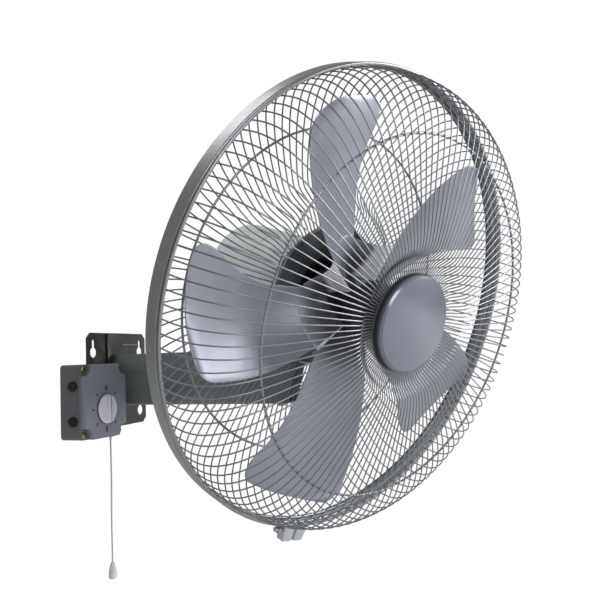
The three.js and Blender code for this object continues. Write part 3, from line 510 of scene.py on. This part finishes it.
def softened(node, finish, body, edge_mm, segments=2, place=Matrix.Identity(4)):
    """A CAD node's own shape with flat faces merged and its edges rounded, standing for it.
    A place other than the row's own frame becomes the piece's axes."""
    build = bmesh.new()
    build.from_mesh(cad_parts[node].data)
    bmesh.ops.remove_doubles(build, verts=build.verts, dist=2e-6)
    bmesh.ops.dissolve_limit(build, angle_limit=math.radians(1.5), verts=build.verts,
                             edges=build.edges)
    mesh = bpy.data.meshes.new(node)
    build.to_mesh(mesh)
    build.free()
    helper = helper_object(mesh)
    round_off = helper.modifiers.new("round", "BEVEL")
    round_off.width = edge_mm * MM
    round_off.segments = segments
    round_off.limit_method = "ANGLE"
    round_off.angle_limit = math.radians(32)
    round_off.use_clamp_overlap = True
    bpy.context.view_layer.update()
    rounded = smoothed(kept_result(helper), 40)
    rounded.transform(place.inverted())
    return add_piece(node + "_finished", rounded, finish, body, place, (node,), True)


# %% [markdown]
# ## The hub cap
# The cap is a shallow pressed dome with a narrow bevelled shoulder and a short skirt. The
# shoulder is what catches the light as a bright crescent, so its front edge is left sharp. The
# skirt lies in the guard's shade and is painted darker. The face is one bare coat.

# %% Turn the hub cap
cap_profile = ([(0, 77.4), (12, 77.1), (24, 76.2), (35, 74.9), (43, 73.7), (49.0, 72.6)]
               + arc(50.4, 69.9, 1.3, 46, 10, 4)
               + [(51.7, 67.6), (50.6, 67.2), (47, 70.4), (35, 73), (5, 74.9), (5, 62.3),
                  (2.4, 62.3), (2.4, 71.5), (0, 71.5)])
skirt_profile = [(51.6, 68.0), (52.2, 67.2), (52.5, 66.4), (52.5, 63.8), (52.1, 63.3),
                 (51.2, 63.3), (51.0, 67.2), (51.6, 68.0)]
hub_cap = add_piece("hub_cap_dome", turned("hub_cap", cap_profile, 160, 24), cap_paint, "head",
                    head_frame, ["hub_cap"])
add_piece("hub_cap_skirt", turned("hub_cap_skirt", skirt_profile, 160), skirt_paint, "head",
          head_frame)
print("hub cap vertices", len(hub_cap.data.vertices))

# %% [markdown]
# ## The wire guards
# Each guard has 120 wires. A wire is drawn as one bent line in a half plane, then turned about
# the motor's axis to its place. A tube is swept along it with eight sides, which is round enough
# for a wire under 2 mm thick, and all 120 share one mesh. A spline through a few measured points
# gives the bend: steep at the rim, a rounded shoulder, a long shallow slope, then a dip to the
# centre.

# %% Sweep the guard wires
def spline(points, steps):
    """Catmull-Rom through (radius, station) points."""
    path = []
    ends = [points[0], *points, points[-1]]
    for i in range(1, len(ends) - 2):
        before, start, finish, after = (Vector(ends[i + k]) for k in (-1, 0, 1, 2))
        for k in range(steps):
            t = k / steps
            path.append(0.5 * ((2 * start) + (finish - before) * t
                               + (2 * before - 5 * start + 4 * finish - after) * t * t
                               + (3 * start - 3 * finish + after - before) * t ** 3))
    return path + [Vector(points[-1])]


def wire_bundle(name, route, count, radius_mm, sides=8, steps=3):
    points, faces = [], []
    path = spline(route, steps)
    for wire in range(count):
        angle = 2 * math.pi * wire / count
        out = Vector((math.sin(angle), 0, math.cos(angle)))
        across = Vector((math.cos(angle), 0, -math.sin(angle)))
        line = [out * p.x + Vector((0, -1, 0)) * p.y for p in path]
        base = len(points)
        for i, point in enumerate(line):
            along = (line[min(i + 1, len(line) - 1)] - line[max(i - 1, 0)]).normalized()
            normal = along.cross(across)
            for k in range(sides):
                a = 2 * math.pi * k / sides
                points.append((point + across * (radius_mm * math.cos(a))
                               + normal * (radius_mm * math.sin(a))) * MM)
        for i in range(len(line) - 1):
            for k in range(sides):
                a, b = base + i * sides + k, base + i * sides + (k + 1) % sides
                faces.append((a, b, b + sides, a + sides))
        faces.append(tuple(base + k for k in reversed(range(sides))))
        faces.append(tuple(base + (len(line) - 1) * sides + k for k in range(sides)))
    mesh = bpy.data.meshes.new(name)
    mesh.from_pydata([tuple(p) for p in points], [], faces)
    return smoothed(mesh, 60)


wire_count, wire_radius = 120, 0.75
front_route = [(249.8, -5.5), (248.2, 14), (240, 34), (220, 52), (190, 62.3), (135, 69.2),
               (88, 72.6), (76, 69), (68, 62.6), (60, 61), (50.5, 61)]
rear_route = [(249.8, -17.8), (246, -33), (232, -51), (212, -62.5), (188, -71.3), (155, -79),
              (130, -81), (118, -74), (108, -64), (96, -61.2), (81, -60)]
front_mesh = wire_bundle("front_wires", front_route, wire_count, wire_radius)
front_wires = add_piece("front_guard_wires", front_mesh, wire_coat, "head",
                        head_frame, ["front_guard"])
rear_mesh = wire_bundle("rear_wires", rear_route, wire_count, wire_radius)
rear_wires = add_piece("rear_guard_wires", rear_mesh, wire_coat, "head",
                       head_frame, ["rear_guard"])
print("guard wire faces", len(front_wires.data.polygons) + len(rear_wires.data.polygons))

# %% [markdown]
# The rim rings, the shoulder rings and the small ring that the rear wires end on are hoops of
# thicker wire. A hoop is a lathe profile in the form of a circle.

# %% Bend the guard's rings
def hoop(radius, station, wire_mm, sides=12):
    return [(radius + wire_mm * math.cos(2 * math.pi * k / sides),
             station + wire_mm * math.sin(2 * math.pi * k / sides)) for k in range(sides + 1)]


rings = {
    "front_rim_hoop": (hoop(251.4, -6, 1.9), ["front_rim_ring"]),
    "rear_rim_hoop": (hoop(251.4, -17.2, 1.9), ["rear_rim_ring"]),
    "front_shoulder_hoop": (hoop(190, 60.2, 1.25), ["front_guard_ring"]),
    "rear_shoulder_hoop": (hoop(188.4, -69.0, 1.25), ["rear_guard_ring"]),
    "rear_centre_hoop": (hoop(81, -60, 1.5), []),
}
for name, (profile, nodes) in rings.items():
    add_piece(name, turned(name, profile, 192, 60), wire_coat, "head", head_frame,
              nodes)
disc_profile = [(2.4, 60.1), (51.5, 60.1), (51.8, 61), (51.5, 62), (44, 62), (42, 61.7),
                (2.4, 61.7), (2.4, 60.1)]
add_piece("front_centre_disc", turned("front_centre_disc", disc_profile, 96), wire_coat, "head",
          head_frame)
print("rings", len(rings))

# %% [markdown]
# ## The clamp band
# A strip of sheet steel with its edges folded in closes round both rims and is drawn tight under
# the guard. Its profile is swept almost all the way round, leaving the gap at the bottom. The
# front edge is rolled into a bead, with a narrow fold behind it. A thin black ring laid in the
# fold is painted shadow: a thin dark line beside the bead's thin bright one.

# %% Roll the clamp band
band_gap = math.radians(0.45)
fold_bead = arc(253.1, -1.5, 1.4, 115, -70, 7)
rear_edge = arc(253.5, -22.1, 1.0, 0, -90, 4)
band_profile = ([(251.6, -1.2), (251.7, -0.4)] + fold_bead
                + [(252.4, -3.2), (252.4, -5.0), (253.9, -5.6), (254.5, -6.4), (254.5, -21.5)]
                + rear_edge
                + [(252.0, -23.1), (251.6, -22.6), (252.4, -22.0), (253.5, -21.2), (253.5, -6.6),
                   (252.9, -5.9), (251.9, -5.4), (251.8, -3.0)])


def swept_band(name, profile, first, last, steps):
    points, faces = [], []
    count = len(profile)
    for k in range(steps + 1):
        angle = first + (last - first) * k / steps
        points += [polar(r, s, angle) for r, s in profile]
    for k in range(steps):
        for i in range(count):
            a, b = k * count + i, k * count + (i + 1) % count
            faces.append((a, b, b + count, a + count))
    faces.append(tuple(range(count)))
    faces.append(tuple(reversed(range(steps * count, (steps + 1) * count))))
    return mesh_of(name, points, faces, 30)


band_ends = (math.pi + band_gap, 3 * math.pi - band_gap, 240)
band = add_piece("guard_band_strip", swept_band("band_strip", band_profile, *band_ends),
                 band_coat, "head", head_frame, ["guard_band"])
# Faces looking inwards take the paler colour: painted light on the band's inside.
band.data.materials.append(band_inside_painted_light.material)
to_head = head_frame.inverted()
for face in band.data.polygons:
    outward = to_head @ face.center
    outward.y = 0
    facing = to_head.to_3x3() @ face.normal
    face.material_index = 1 if facing.dot(outward.normalized()) < -0.8 else 0
# A thin black ring in the fold is painted shadow.
fold_shadow = [(252.3, -3.0), (253.2, -3.3), (253.2, -4.9), (252.3, -5.1)]
add_piece("band_fold_painted_shadow", swept_band("band_fold_painted_shadow", fold_shadow, *band_ends), plug_rubber,
          "head", head_frame)
print("band faces", len(band.data.polygons))

# %% [markdown]
# Two folded lugs are spot-welded to the band's ends, with a screw through both. Each lug tapers
# away from the band. Rounding the corners by a millimetre is what makes folded sheet look folded.

# %% Fold the lugs
def lug(side):
    low, high = 2.0, 18.0
    build = bmesh.new()
    corners = []
    for z, reach, depth in ((-253.6, 1.0, 7.0), (-274, 0.8, 5.4)):
        for x, y in ((low, 10.6 - depth), (low + (high - low) * reach, 10.6 - depth),
                     (low + (high - low) * reach, 10.6 + depth), (low, 10.6 + depth)):
            corners.append(build.verts.new(Vector((side * x, y, z)) * MM))
    for face in ((0, 1, 2, 3), (4, 5, 6, 7), (0, 1, 5, 4), (1, 2, 6, 5), (2, 3, 7, 6),
                 (3, 0, 4, 7)):
        build.faces.new([corners[i] for i in face])
    bmesh.ops.recalc_face_normals(build, faces=build.faces)
    bmesh.ops.bevel(build, geom=build.edges[:], offset=1.2 * MM, segments=3, affect="EDGES",
                    profile=0.5)
    mesh = bpy.data.meshes.new("lug")
    build.to_mesh(mesh)
    build.free()
    return smoothed(mesh)


# The lugs' paler coat is painted light.
lugs = [add_piece(f"band_lug_{word}", lug(side), lug_painted_light, "head", head_frame)
        for side, word in ((-1, "left"), (1, "right"))]
softened("band_screw", steel, "head", 0.5)
softened("band_nut", steel, "head", 0.4)
print("lugs", [piece.name for piece in lugs])

# %% [markdown]
# ## The impeller
# Five blades of thin sheet stand on a spider. A blade's outline comes from two edge curves:
# the angle and the station of its trailing and leading edge at each radius, with the tip corners
# rounded off. Between them the sheet is cambered. Only the middle surface is built, and a
# Solidify modifier gives it the sheet's thickness.

# %% Press the blades
TIP, ROOT = 223.0, 31.0
BLADES = 5


def blade_edge(leading, radius):
    q = (radius - 130) / 100
    if leading:
        angle, station, size = 0.5 + q + 12 * q * q, -25 + 6.5 * q, 38
    else:
        angle, station, size = -36.5 + 9.5 * q + 2 * q * q, 3.5 + 6 * q, 18
    past = max(0.0, radius - (TIP - size))
    inset = size - math.sqrt(max(0.0, size ** 2 - past ** 2))
    return math.radians(angle) + (-inset if leading else inset) / radius, station


def blade_point(radius, across, turn=0.0):
    """A point of the cambered sheet: across runs from the trailing edge to the leading one."""
    (a0, s0), (a1, s1) = blade_edge(False, radius), blade_edge(True, radius)
    sag = 7.0 * 4 * across * (1 - across)
    return polar(radius, s0 + (s1 - s0) * across - sag, a0 + (a1 - a0) * across + turn)


def sheet_metal(points, rows, columns, thick_mm=1.45):
    """Thin sheet with soft edges from a grid of (rows + 1) by (columns + 1) points."""
    width = columns + 1
    faces = [(a, a + 1, a + width + 1, a + width)
             for a in (i * width + j for i in range(rows) for j in range(columns))]
    sheet = helper_object(mesh_of("sheet", points, faces, 60))
    thick = sheet.modifiers.new("sheet", "SOLIDIFY")
    thick.thickness, thick.offset = thick_mm * MM, 0
    edge = sheet.modifiers.new("edge", "BEVEL")
    edge.width, edge.segments, edge.limit_method = 0.4 * MM, 2, "ANGLE"
    bpy.context.view_layer.update()
    return smoothed(kept_result(sheet), 50)


def blade_sheet(number, rows=44, columns=20):
    turn = 2 * math.pi * number / BLADES
    points = []
    for i in range(rows + 1):
        radius = ROOT + (TIP - 0.15 - ROOT) * (1 - (1 - i / rows) ** 1.6)
        points += [blade_point(radius, j / columns, turn) for j in range(columns + 1)]
    return sheet_metal(points, rows, columns)


for number in range(BLADES):
    add_piece(f"blade_{number + 1}_sheet", blade_sheet(number), blade_paint, "rotor",
              rotor_frame, [f"blade_{number + 1}"])
softened("blade_spider", spider_cast, "rotor", 0.5, 2, rotor_frame)
print("blades", BLADES, "from", ROOT, "to", TIP, "mm radius")

# %% [markdown]
# Near the hub the sheet doesn't stop at a blade's edge. It ramps up from one blade's leading edge
# to the next one's trailing edge, and its free edge between them is a smooth hollow curve, a
# little further out where it runs into the next blade.

# A second skin covers each blade's root and carries the painted shade. Both darken towards the
# hub, which is painted shade, and the ramp is painted pale down its middle. The five are the same
# piece turned about the axis, so one pair of masks paints them all.

# %% Join the blades round the hub
pale_band_angle = math.radians(25)
blade_grey = linear(147, 150, 160)
web_paint = Finish("web_paint", blade_grey, 0.42)
off_middle = web_paint.node("ShaderNodeVectorMath", {"operation": "DOT_PRODUCT"}, {
    0: web_paint.place, 1: (math.cos(pale_band_angle), 0, -math.sin(pale_band_angle))}, output=1)
off_middle = web_paint.node("ShaderNodeMath", {"operation": "ABSOLUTE"}, {0: off_middle})
# A pale band runs down the middle of each ramp.
pale_band = mask(web_paint, off_middle, 8.5 * MM, 6 * MM)
pale_band_grain = mask(web_paint, clouds(web_paint, 1.2, 2), 0.4, 0.7)
pale_band_tone = mixed(web_paint, pale_band_grain, linear(205, 206, 207), linear(246, 247, 248))
# Painted shade: the colour darkens towards the hub, and the metal dulls with it.
clear_of_hub_shade = mask(web_paint, axis_distance(web_paint), 52 * MM, 78 * MM)
hub_shade_tone = mixed(web_paint, clear_of_hub_shade, linear(72, 74, 82), blade_grey)
web_paint.feed("Base Color", mixed(web_paint, pale_band, hub_shade_tone, pale_band_tone))
web_paint.feed("Metallic", clear_of_hub_shade * (0.55 - pale_band * 0.55))
web_paint.feed("Roughness", 0.6 - clear_of_hub_shade * 0.23)


def root_web(rows=8, columns=18):
    points = []
    for i in range(rows + 1):
        for j in range(columns + 1):
            across = j / columns
            reach = 69 + 4 * (1 - across) ** 3 + 10 * across ** 4
            radius = ROOT + (reach - ROOT) * i / rows
            a0, s0 = blade_edge(True, radius)
            a1, s1 = blade_edge(False, radius)
            ramp = across * across * (3 - 2 * across)
            angle = a0 + (a1 + 2 * math.pi / BLADES - a0) * across
            points.append(polar(radius, s0 + (s1 - s0) * ramp, angle))
    return sheet_metal(points, rows, columns)


# The root skin carries the painted shade over each blade's root.
def root_shade_skin(rows=10, columns=20, reach=78, thick_mm=1.75):
    points = [blade_point(ROOT + (reach - ROOT) * i / rows, j / columns)
              for i in range(rows + 1) for j in range(columns + 1)]
    return sheet_metal(points, rows, columns, thick_mm)


for number in range(BLADES):
    place = rotor_frame @ Matrix.Rotation(2 * math.pi * number / BLADES, 4, "Y")
    for word, mesh in (("web", root_web()), ("skin", root_shade_skin())):
        add_piece(f"blade_root_{word}_{number + 1}", mesh, web_paint, "rotor",
                  place, own_axes=True)
print("root web and skin at each of", BLADES, "blades")

# %% [markdown]
# The spinner nut clamps the impeller to the shaft. It is black, turned like the cap, with a
# stepped cone.

# %% Turn the spinner and the shaft
spinner_profile = [(4.3, 6.5), (33, 6.5), (33, 12.3), (32.6, 12.9), (27.4, 23.6), (25.5, 25.2),
                   (19.6, 29.6), (18.2, 30), (0, 30), (0, 23), (4.3, 23), (4.3, 6.5)]
add_piece("spinner_cone", turned("spinner", spinner_profile, 72), black_plastic, "rotor",
          rotor_frame, ["spinner_nut"])
shaft_profile = [(0, -205.2), (3.4, -205.2), (4, -204.6), (4, 21.4), (3.4, 22), (0, 22)]
add_piece("shaft_round", turned("shaft", shaft_profile, 32), steel, "rotor",
          rotor_frame, ["motor_shaft"])
print("spinner width", 2 * max(r for r, s in spinner_profile), "mm")

# %% [markdown]
# ## The motor
# The motor's shell is a deep round casting with a generous radius at its back, cooling slots
# round the rear bearing, and a black pressed plate at its front. The slots are cut from the
# turned shell with a boolean.

# %% Turn the motor's shell
shell_profile = ([(0, -222), (18, -222), (19, -221.2), (21, -221.2), (22, -222)]
                 + arc(46, -208, 14, -90, 0, 8)
                 + [(60, -150), (60, -149.4), (59.3, -149), (59.3, -147.6), (60, -147.2),
                    (60, -92), (59.4, -84.4), (57.5, -84.4), (57.5, -206)]
                 + arc(46, -208, 11.5, 0, -90, 6)
                 + [(15.3, -219.5), (15.3, -198.4), (11.3, -198.4), (11.3, -205.7), (0, -205.7)])
slots, slot_count = [], 18
for k in range(slot_count):
    tool = boxed("slot", (-1.6, 205, 25), (1.6, 226, 43), 1.2)
    tool.transform(Matrix.Rotation(2 * math.pi * k / slot_count, 4, "Y"))
    slots.append(tool)
add_piece("motor_shell", cut_by(turned("motor_shell", shell_profile, 96), slots), motor_paint,
          "head", head_frame, ["motor_housing"])
shield_profile = [(4.3, -77), (4.3, -65.3), (11.3, -65.3), (11.3, -50), (23, -50), (24, -51),
                  (24, -62.4), (25, -63.9), (44, -63.9), (46, -64.6), (58.6, -75), (60, -76.6),
                  (60, -84), (57, -84), (40, -77), (4.3, -77)]
add_piece("front_shield_plate", turned("front_shield", shield_profile, 96), shield_paint, "head",
          head_frame, ["front_shield"])
print("shell slots", len(slots))

# %% [markdown]
# Behind the impeller, the rear guard is trapped between a round plate and a ribbed nut on the
# motor's nose.

# %% Centre plate and guard nut
plate_profile = [(24.3, -63.6), (80.6, -63.6), (82, -62.9), (81.4, -61.9), (60, -61.8),
                 (58, -61.2), (56, -61.8), (24.3, -61.8), (24.3, -63.6)]
add_piece("centre_plate_disc", turned("centre_plate", plate_profile, 96), plate_moulding, "head",
          head_frame, ["guard_centre_plate"], True)
softened("guard_nut", nut_plastic, "head", 0.7)

# %% [markdown]
# ## Plate, arm and neck
# These are pressed from 2 to 3 mm steel. Their shapes are already right in the solids. What a
# press leaves and a sharp solid lacks is a rounded edge, so each is taken as it is, its flat
# triangles are merged, and its edges are rounded by under a millimetre. Two short raised lines
# near the wall plate's top are added, painted pale as a painted highlight along the rib.

# %% Round the pressed steel
softened("wall_plate", plate_enamel, "bracket", 0.5)
softened("arm", lit_arm_enamel, "bracket", 0.7, 3)
softened("tilt_bracket", plate_enamel, "tilt_neck", 0.6)
softened("swivel_housing", plate_enamel, "head", 0.9, 3)
# The raised lines' pale colour is a painted highlight along the rib.
emboss_painted_highlight = enamel("emboss_painted_highlight", linear(118, 120, 118), 0.4, 0.2, 0.1, 0.0)
for word, low, high, face in (("foot", 7, 25, -4.6), ("flange", 26, 44, -1.9)):
    emboss = boxed("emboss", (low, face - 0.7, 46.5), (high, face, 47.9), 0.3, 2)
    add_piece(f"wall_plate_emboss_{word}", emboss, emboss_painted_highlight, "bracket")
softened("tilt_bolt", steel, "bracket", 0.5)
softened("tilt_nut", steel, "bracket", 0.5)
softened("earth_screw", steel, "bracket", 0.4)

# %% [markdown]
# ## The switch box
# The box is a steel base with a pressed cover whose four corners are notched for its screws. The
# cover's edges are drawn over a radius of more than a millimetre.

# %% Base, cover and plugs
# The base's darker grey is painted shade on the box's side.
softened("control_base", shaded_box_enamel, "bracket", 1.0, 3)
softened("control_cover", box_enamel, "bracket", 1.3, 4)
softened("gland_upper", plug_rubber, "bracket", 0.4)
softened("gland_lower", plug_rubber, "bracket", 0.4)
softened("cord_bush", black_plastic, "bracket", 0.4)
softened("dial_ring", nut_plastic, "bracket", 0.3)

# %% [markdown]
# Each cover screw has a pan head with a cross recess, plated and passivated yellow. The screw is
# turned and the cross cut from its head.

# %% Turn the cover screws
def about_z(radius, height, angle):
    return Vector((radius * math.cos(angle), radius * math.sin(angle), height)) * MM


PAN_HEIGHT = 2.6


def pan_screw(shank_mm):
    """A screw about Z with its head's seat at 0."""
    outline = [(0, PAN_HEIGHT), (1.6, 2.5), (2.9, 2.1), (3.7, 1.2), (4.0, 0.3), (4.0, 0), (1.9, 0),
               (1.9, 0.6 - shank_mm), (1.3, -shank_mm), (0, -shank_mm)]
    bars = [boxed("bar", (-2.3, -0.5, 1.2), (2.3, 0.5, 3.5)),
            boxed("bar", (-0.5, -2.3, 1.2), (0.5, 2.3, 3.5))]
    return cut_by(turned("pan_screw", outline, 40, 35, about_z), bars)


for number in range(1, 5):
    low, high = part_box(f"cover_screw_{number}")
    middle = (low + high) / 2
    twist = Matrix.Rotation(0.4 * number, 4, "Z")
    seat = Matrix.Translation((middle.x, low.y + PAN_HEIGHT * MM, middle.z))
    place = seat @ Matrix.Rotation(math.pi / 2, 4, "X") @ twist
    shank = (high.y - low.y) / MM - PAN_HEIGHT
    add_piece(f"cover_screw_pan_{number}", pan_screw(shank), yellow_zinc, "bracket",
              place, [f"cover_screw_{number}"])
    print("cover screw", number, "shank", round(shank, 1), "mm")

# %% [markdown]
# ## The speed knob
# The knob is a disc with a rounded shoulder and a low bar across it to grip. A darker strip along
# the bar is painted shade. The disc is turned, and the bar and the strip are blocks with round
# edges.

# %% Turn the knob
knob_x, knob_z, knob_back = -75.25, -33.3, -39.2
knob_profile = [(3.3, 0), (17.6, 0), (18.1, 0.6), (18.0, 1.4), (17.6, 2.2), (16.9, 2.8),
                (16.0, 3.2), (14.6, 3.4), (7, 3.5), (3.3, 3.5), (3.3, 0)]
knob_place = (Matrix.Translation(Vector((knob_x, knob_back, knob_z)) * MM)
              @ Matrix.Rotation(math.pi / 2, 4, "X"))
add_piece("knob_disc", turned("knob_disc", knob_profile, 72, 35, about_z), knob_plastic, "knob",
          knob_place, ["speed_knob"])
grip = boxed("knob_grip", (knob_x - 3.8, knob_back - 7.2, knob_z - 15.4),
             (knob_x + 4.6, knob_back - 2, knob_z + 15.4), 0.8, 3)
add_piece("knob_grip", grip, knob_plastic, "knob")
# The darker strip on the bar is painted shade.
strip = boxed("knob_shade_strip", (knob_x - 0.9, knob_back - 7.5, knob_z - 14.4),
              (knob_x + 0.9, knob_back - 6.8, knob_z + 14.4), 0.25, 2)
add_piece("knob_shade_strip", strip, shade_plastic, "knob")
print("knob disc width", 2 * max(r for r, h in knob_profile), "mm")

# %% [markdown]
# The dial's marks are screen-printed in black: a figure for off at the top, the highest speed's
# figure at the bottom, and a short dash at each step between. The figures are text turned to
# mesh, and every mark is raised by a hair so that it lies on the paint.

# %% Print the dial
dial_ink = moulded("dial_ink", linear(22, 23, 26), 0.5)
dial_radius, face_y = 25.2, -38.9
dial_angles = (0, 45, 135, 180, 225, 270, 315)
for degrees_round in dial_angles:
    a = math.radians(degrees_round)
    spot = Vector((knob_x + dial_radius * math.sin(a), face_y,
                   knob_z + dial_radius * math.cos(a))) * MM
    if degrees_round % 180 == 0:
        text = bpy.data.curves.new("figure", "FONT")
        text.body = "0" if degrees_round == 0 else "3"
        text.size = 8.6 * MM
        text.align_x, text.align_y = "CENTER", "CENTER"
        text.extrude, text.offset = 0.06 * MM, 0.42 * MM
        helper = helper_object(text)
        bpy.context.view_layer.update()
        mark = kept_result(helper)
        mark.transform(Matrix.Rotation(math.pi / 2, 4, "X"))
    else:
        mark = boxed("dash", (-0.95, -0.06, -2.2), (0.95, 0.06, 2.2), 0.02, 1)
        mark.transform(Matrix.Rotation(a, 4, "Y"))
    mark.transform(Matrix.Translation(spot))
    add_piece(f"dial_mark_{degrees_round}", mark, dial_ink, "bracket")
print("dial marks", len(dial_angles))

# %% [markdown]
# ## The bell on the cord
# The bell is a small ribbed moulding that swells towards its end.

# %% Turn the bell
bell_profile = [(0, 0), (1.6, 0), (2.2, 0.5)]
for k in range(1, 25):
    t = k / 24
    ridge = 0.22 * math.cos(t * math.pi * 10) if t < 0.8 else 0
    bell_profile.append((2.2 + 2.75 * math.sin(min(1, t * 1.25) * math.pi / 2) + ridge, 18 * t))
bell_profile += [(4.7, 19.3), (3.6, 20.4), (1.6, 20.9), (0, 20.9)]
bell_top = cord_bottom - 0.3
bell_place = (Matrix.Translation(Vector((cord_x, cord_y, bell_top)) * MM)
              @ Matrix.Rotation(math.pi, 4, "X"))
bell = add_piece("cord_bell_ribbed", turned("bell", bell_profile, 40, 35, about_z), pale_plastic,
                 "pull", bell_place, ["cord_bell"])

# %% [markdown]
# ## Pieces that stay as they are
# What lies inside, or is small and plain, keeps its CAD solid and only takes a finish.

# %% Finish the remaining solids
plain_finishes = {
    "swing_post": steel, "swing_washer": pale_plastic, "stator_core": steel,
    "winding_front": copper_wire, "winding_rear": copper_wire, "front_bearing": steel,
    "rear_bearing": steel, "rotor_core": steel, "cap_screw": steel, "speed_switch": grey_plastic,
    "run_capacitor": grey_plastic, "terminal_block": pale_plastic, "pull_switch": grey_plastic,
    "pull_link": steel, "knob_spindle": steel,
}
for node, finish in plain_finishes.items():
    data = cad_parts[node].data
    data.materials.clear()
    data.materials.append(finish.material)
bare = [n for n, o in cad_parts.items() if not o.hide_render and n not in plain_finishes]
print("nodes with no finish yet:", bare)

# %% [markdown]
# ## Studio
# A pale floor lies well below the fan. The strongest lamp stands in front of it to the right, one
# of half its power stands on the camera's side, and a weak one hangs above and behind. The
# camera sees the floor and the world as pure white. To the fan the world stays dim, so that its
# metal has something dark to reflect beside the bright lamps.

# %% Floor, world and lamps
def white_to_camera(tree, first, emission, output):
    """Join two shaders so that camera rays see the white one."""
    path = tree.nodes.new("ShaderNodeLightPath")
    choice = tree.nodes.new("ShaderNodeMixShader")
    tree.links.new(path.outputs["Is Camera Ray"], choice.inputs[0])
    tree.links.new(first, choice.inputs[1])
    tree.links.new(emission, choice.inputs[2])
    tree.links.new(choice.outputs[0], output)


half_floor, floor_drop = 6.0, -0.42
floor_mesh = bpy.data.meshes.new("floor")
floor_corners = [(x * half_floor, y * half_floor, floor_drop)
                 for x, y in ((-1, -1), (1, -1), (1, 1), (-1, 1))]
floor_mesh.from_pydata(floor_corners, [], [(0, 1, 2, 3)])
floor_paint = Finish("floor_paint", (0.8, 0.8, 0.8), 0.9)
floor_white = floor_paint.node("ShaderNodeEmission", {}, {"Color": (1, 1, 1, 1), "Strength": 1.0})
white_to_camera(floor_paint.tree, floor_paint.shader.outputs[0], floor_white.socket,
                floor_paint.tree.nodes["Material Output"].inputs[0])
floor_mesh.materials.append(floor_paint.material)
floor = bpy.data.objects.new("floor", floor_mesh)
scene.collection.objects.link(floor)

world = bpy.data.worlds.new("studio")
world.use_nodes = True
scene.world = world
dim_light = world.node_tree.nodes["Background"]
dim_light.inputs["Color"].default_value = (0.97, 0.98, 1, 1)
dim_light.inputs["Strength"].default_value = 0.34
white_light = world.node_tree.nodes.new("ShaderNodeBackground")
white_light.inputs["Color"].default_value = (1, 1, 1, 1)
white_to_camera(world.node_tree, dim_light.outputs[0], white_light.outputs[0],
                world.node_tree.nodes["World Output"].inputs["Surface"])


def lamp(name, place, target, size, watts):
    data = bpy.data.lights.new(name, "AREA")
    data.size, data.energy = size, watts
    light = bpy.data.objects.new(name, data)
    scene.collection.objects.link(light)
    light.location = Vector(place)
    light.rotation_euler = (Vector(target) - Vector(place)).to_track_quat("-Z", "Y").to_euler()


fan_middle = (-0.05, -0.4, 0.05)
lamp("front_softbox", (0.9, -2.45, 0.72), fan_middle, 0.9, 47)
lamp("overhead_softbox", (0.3, 0.85, 2.0), fan_middle, 0.9, 9)
lamp("side_softbox", (-1.6, -2.3, 0.72), fan_middle, 0.95, 23)
scene.view_settings.view_transform = "Standard"
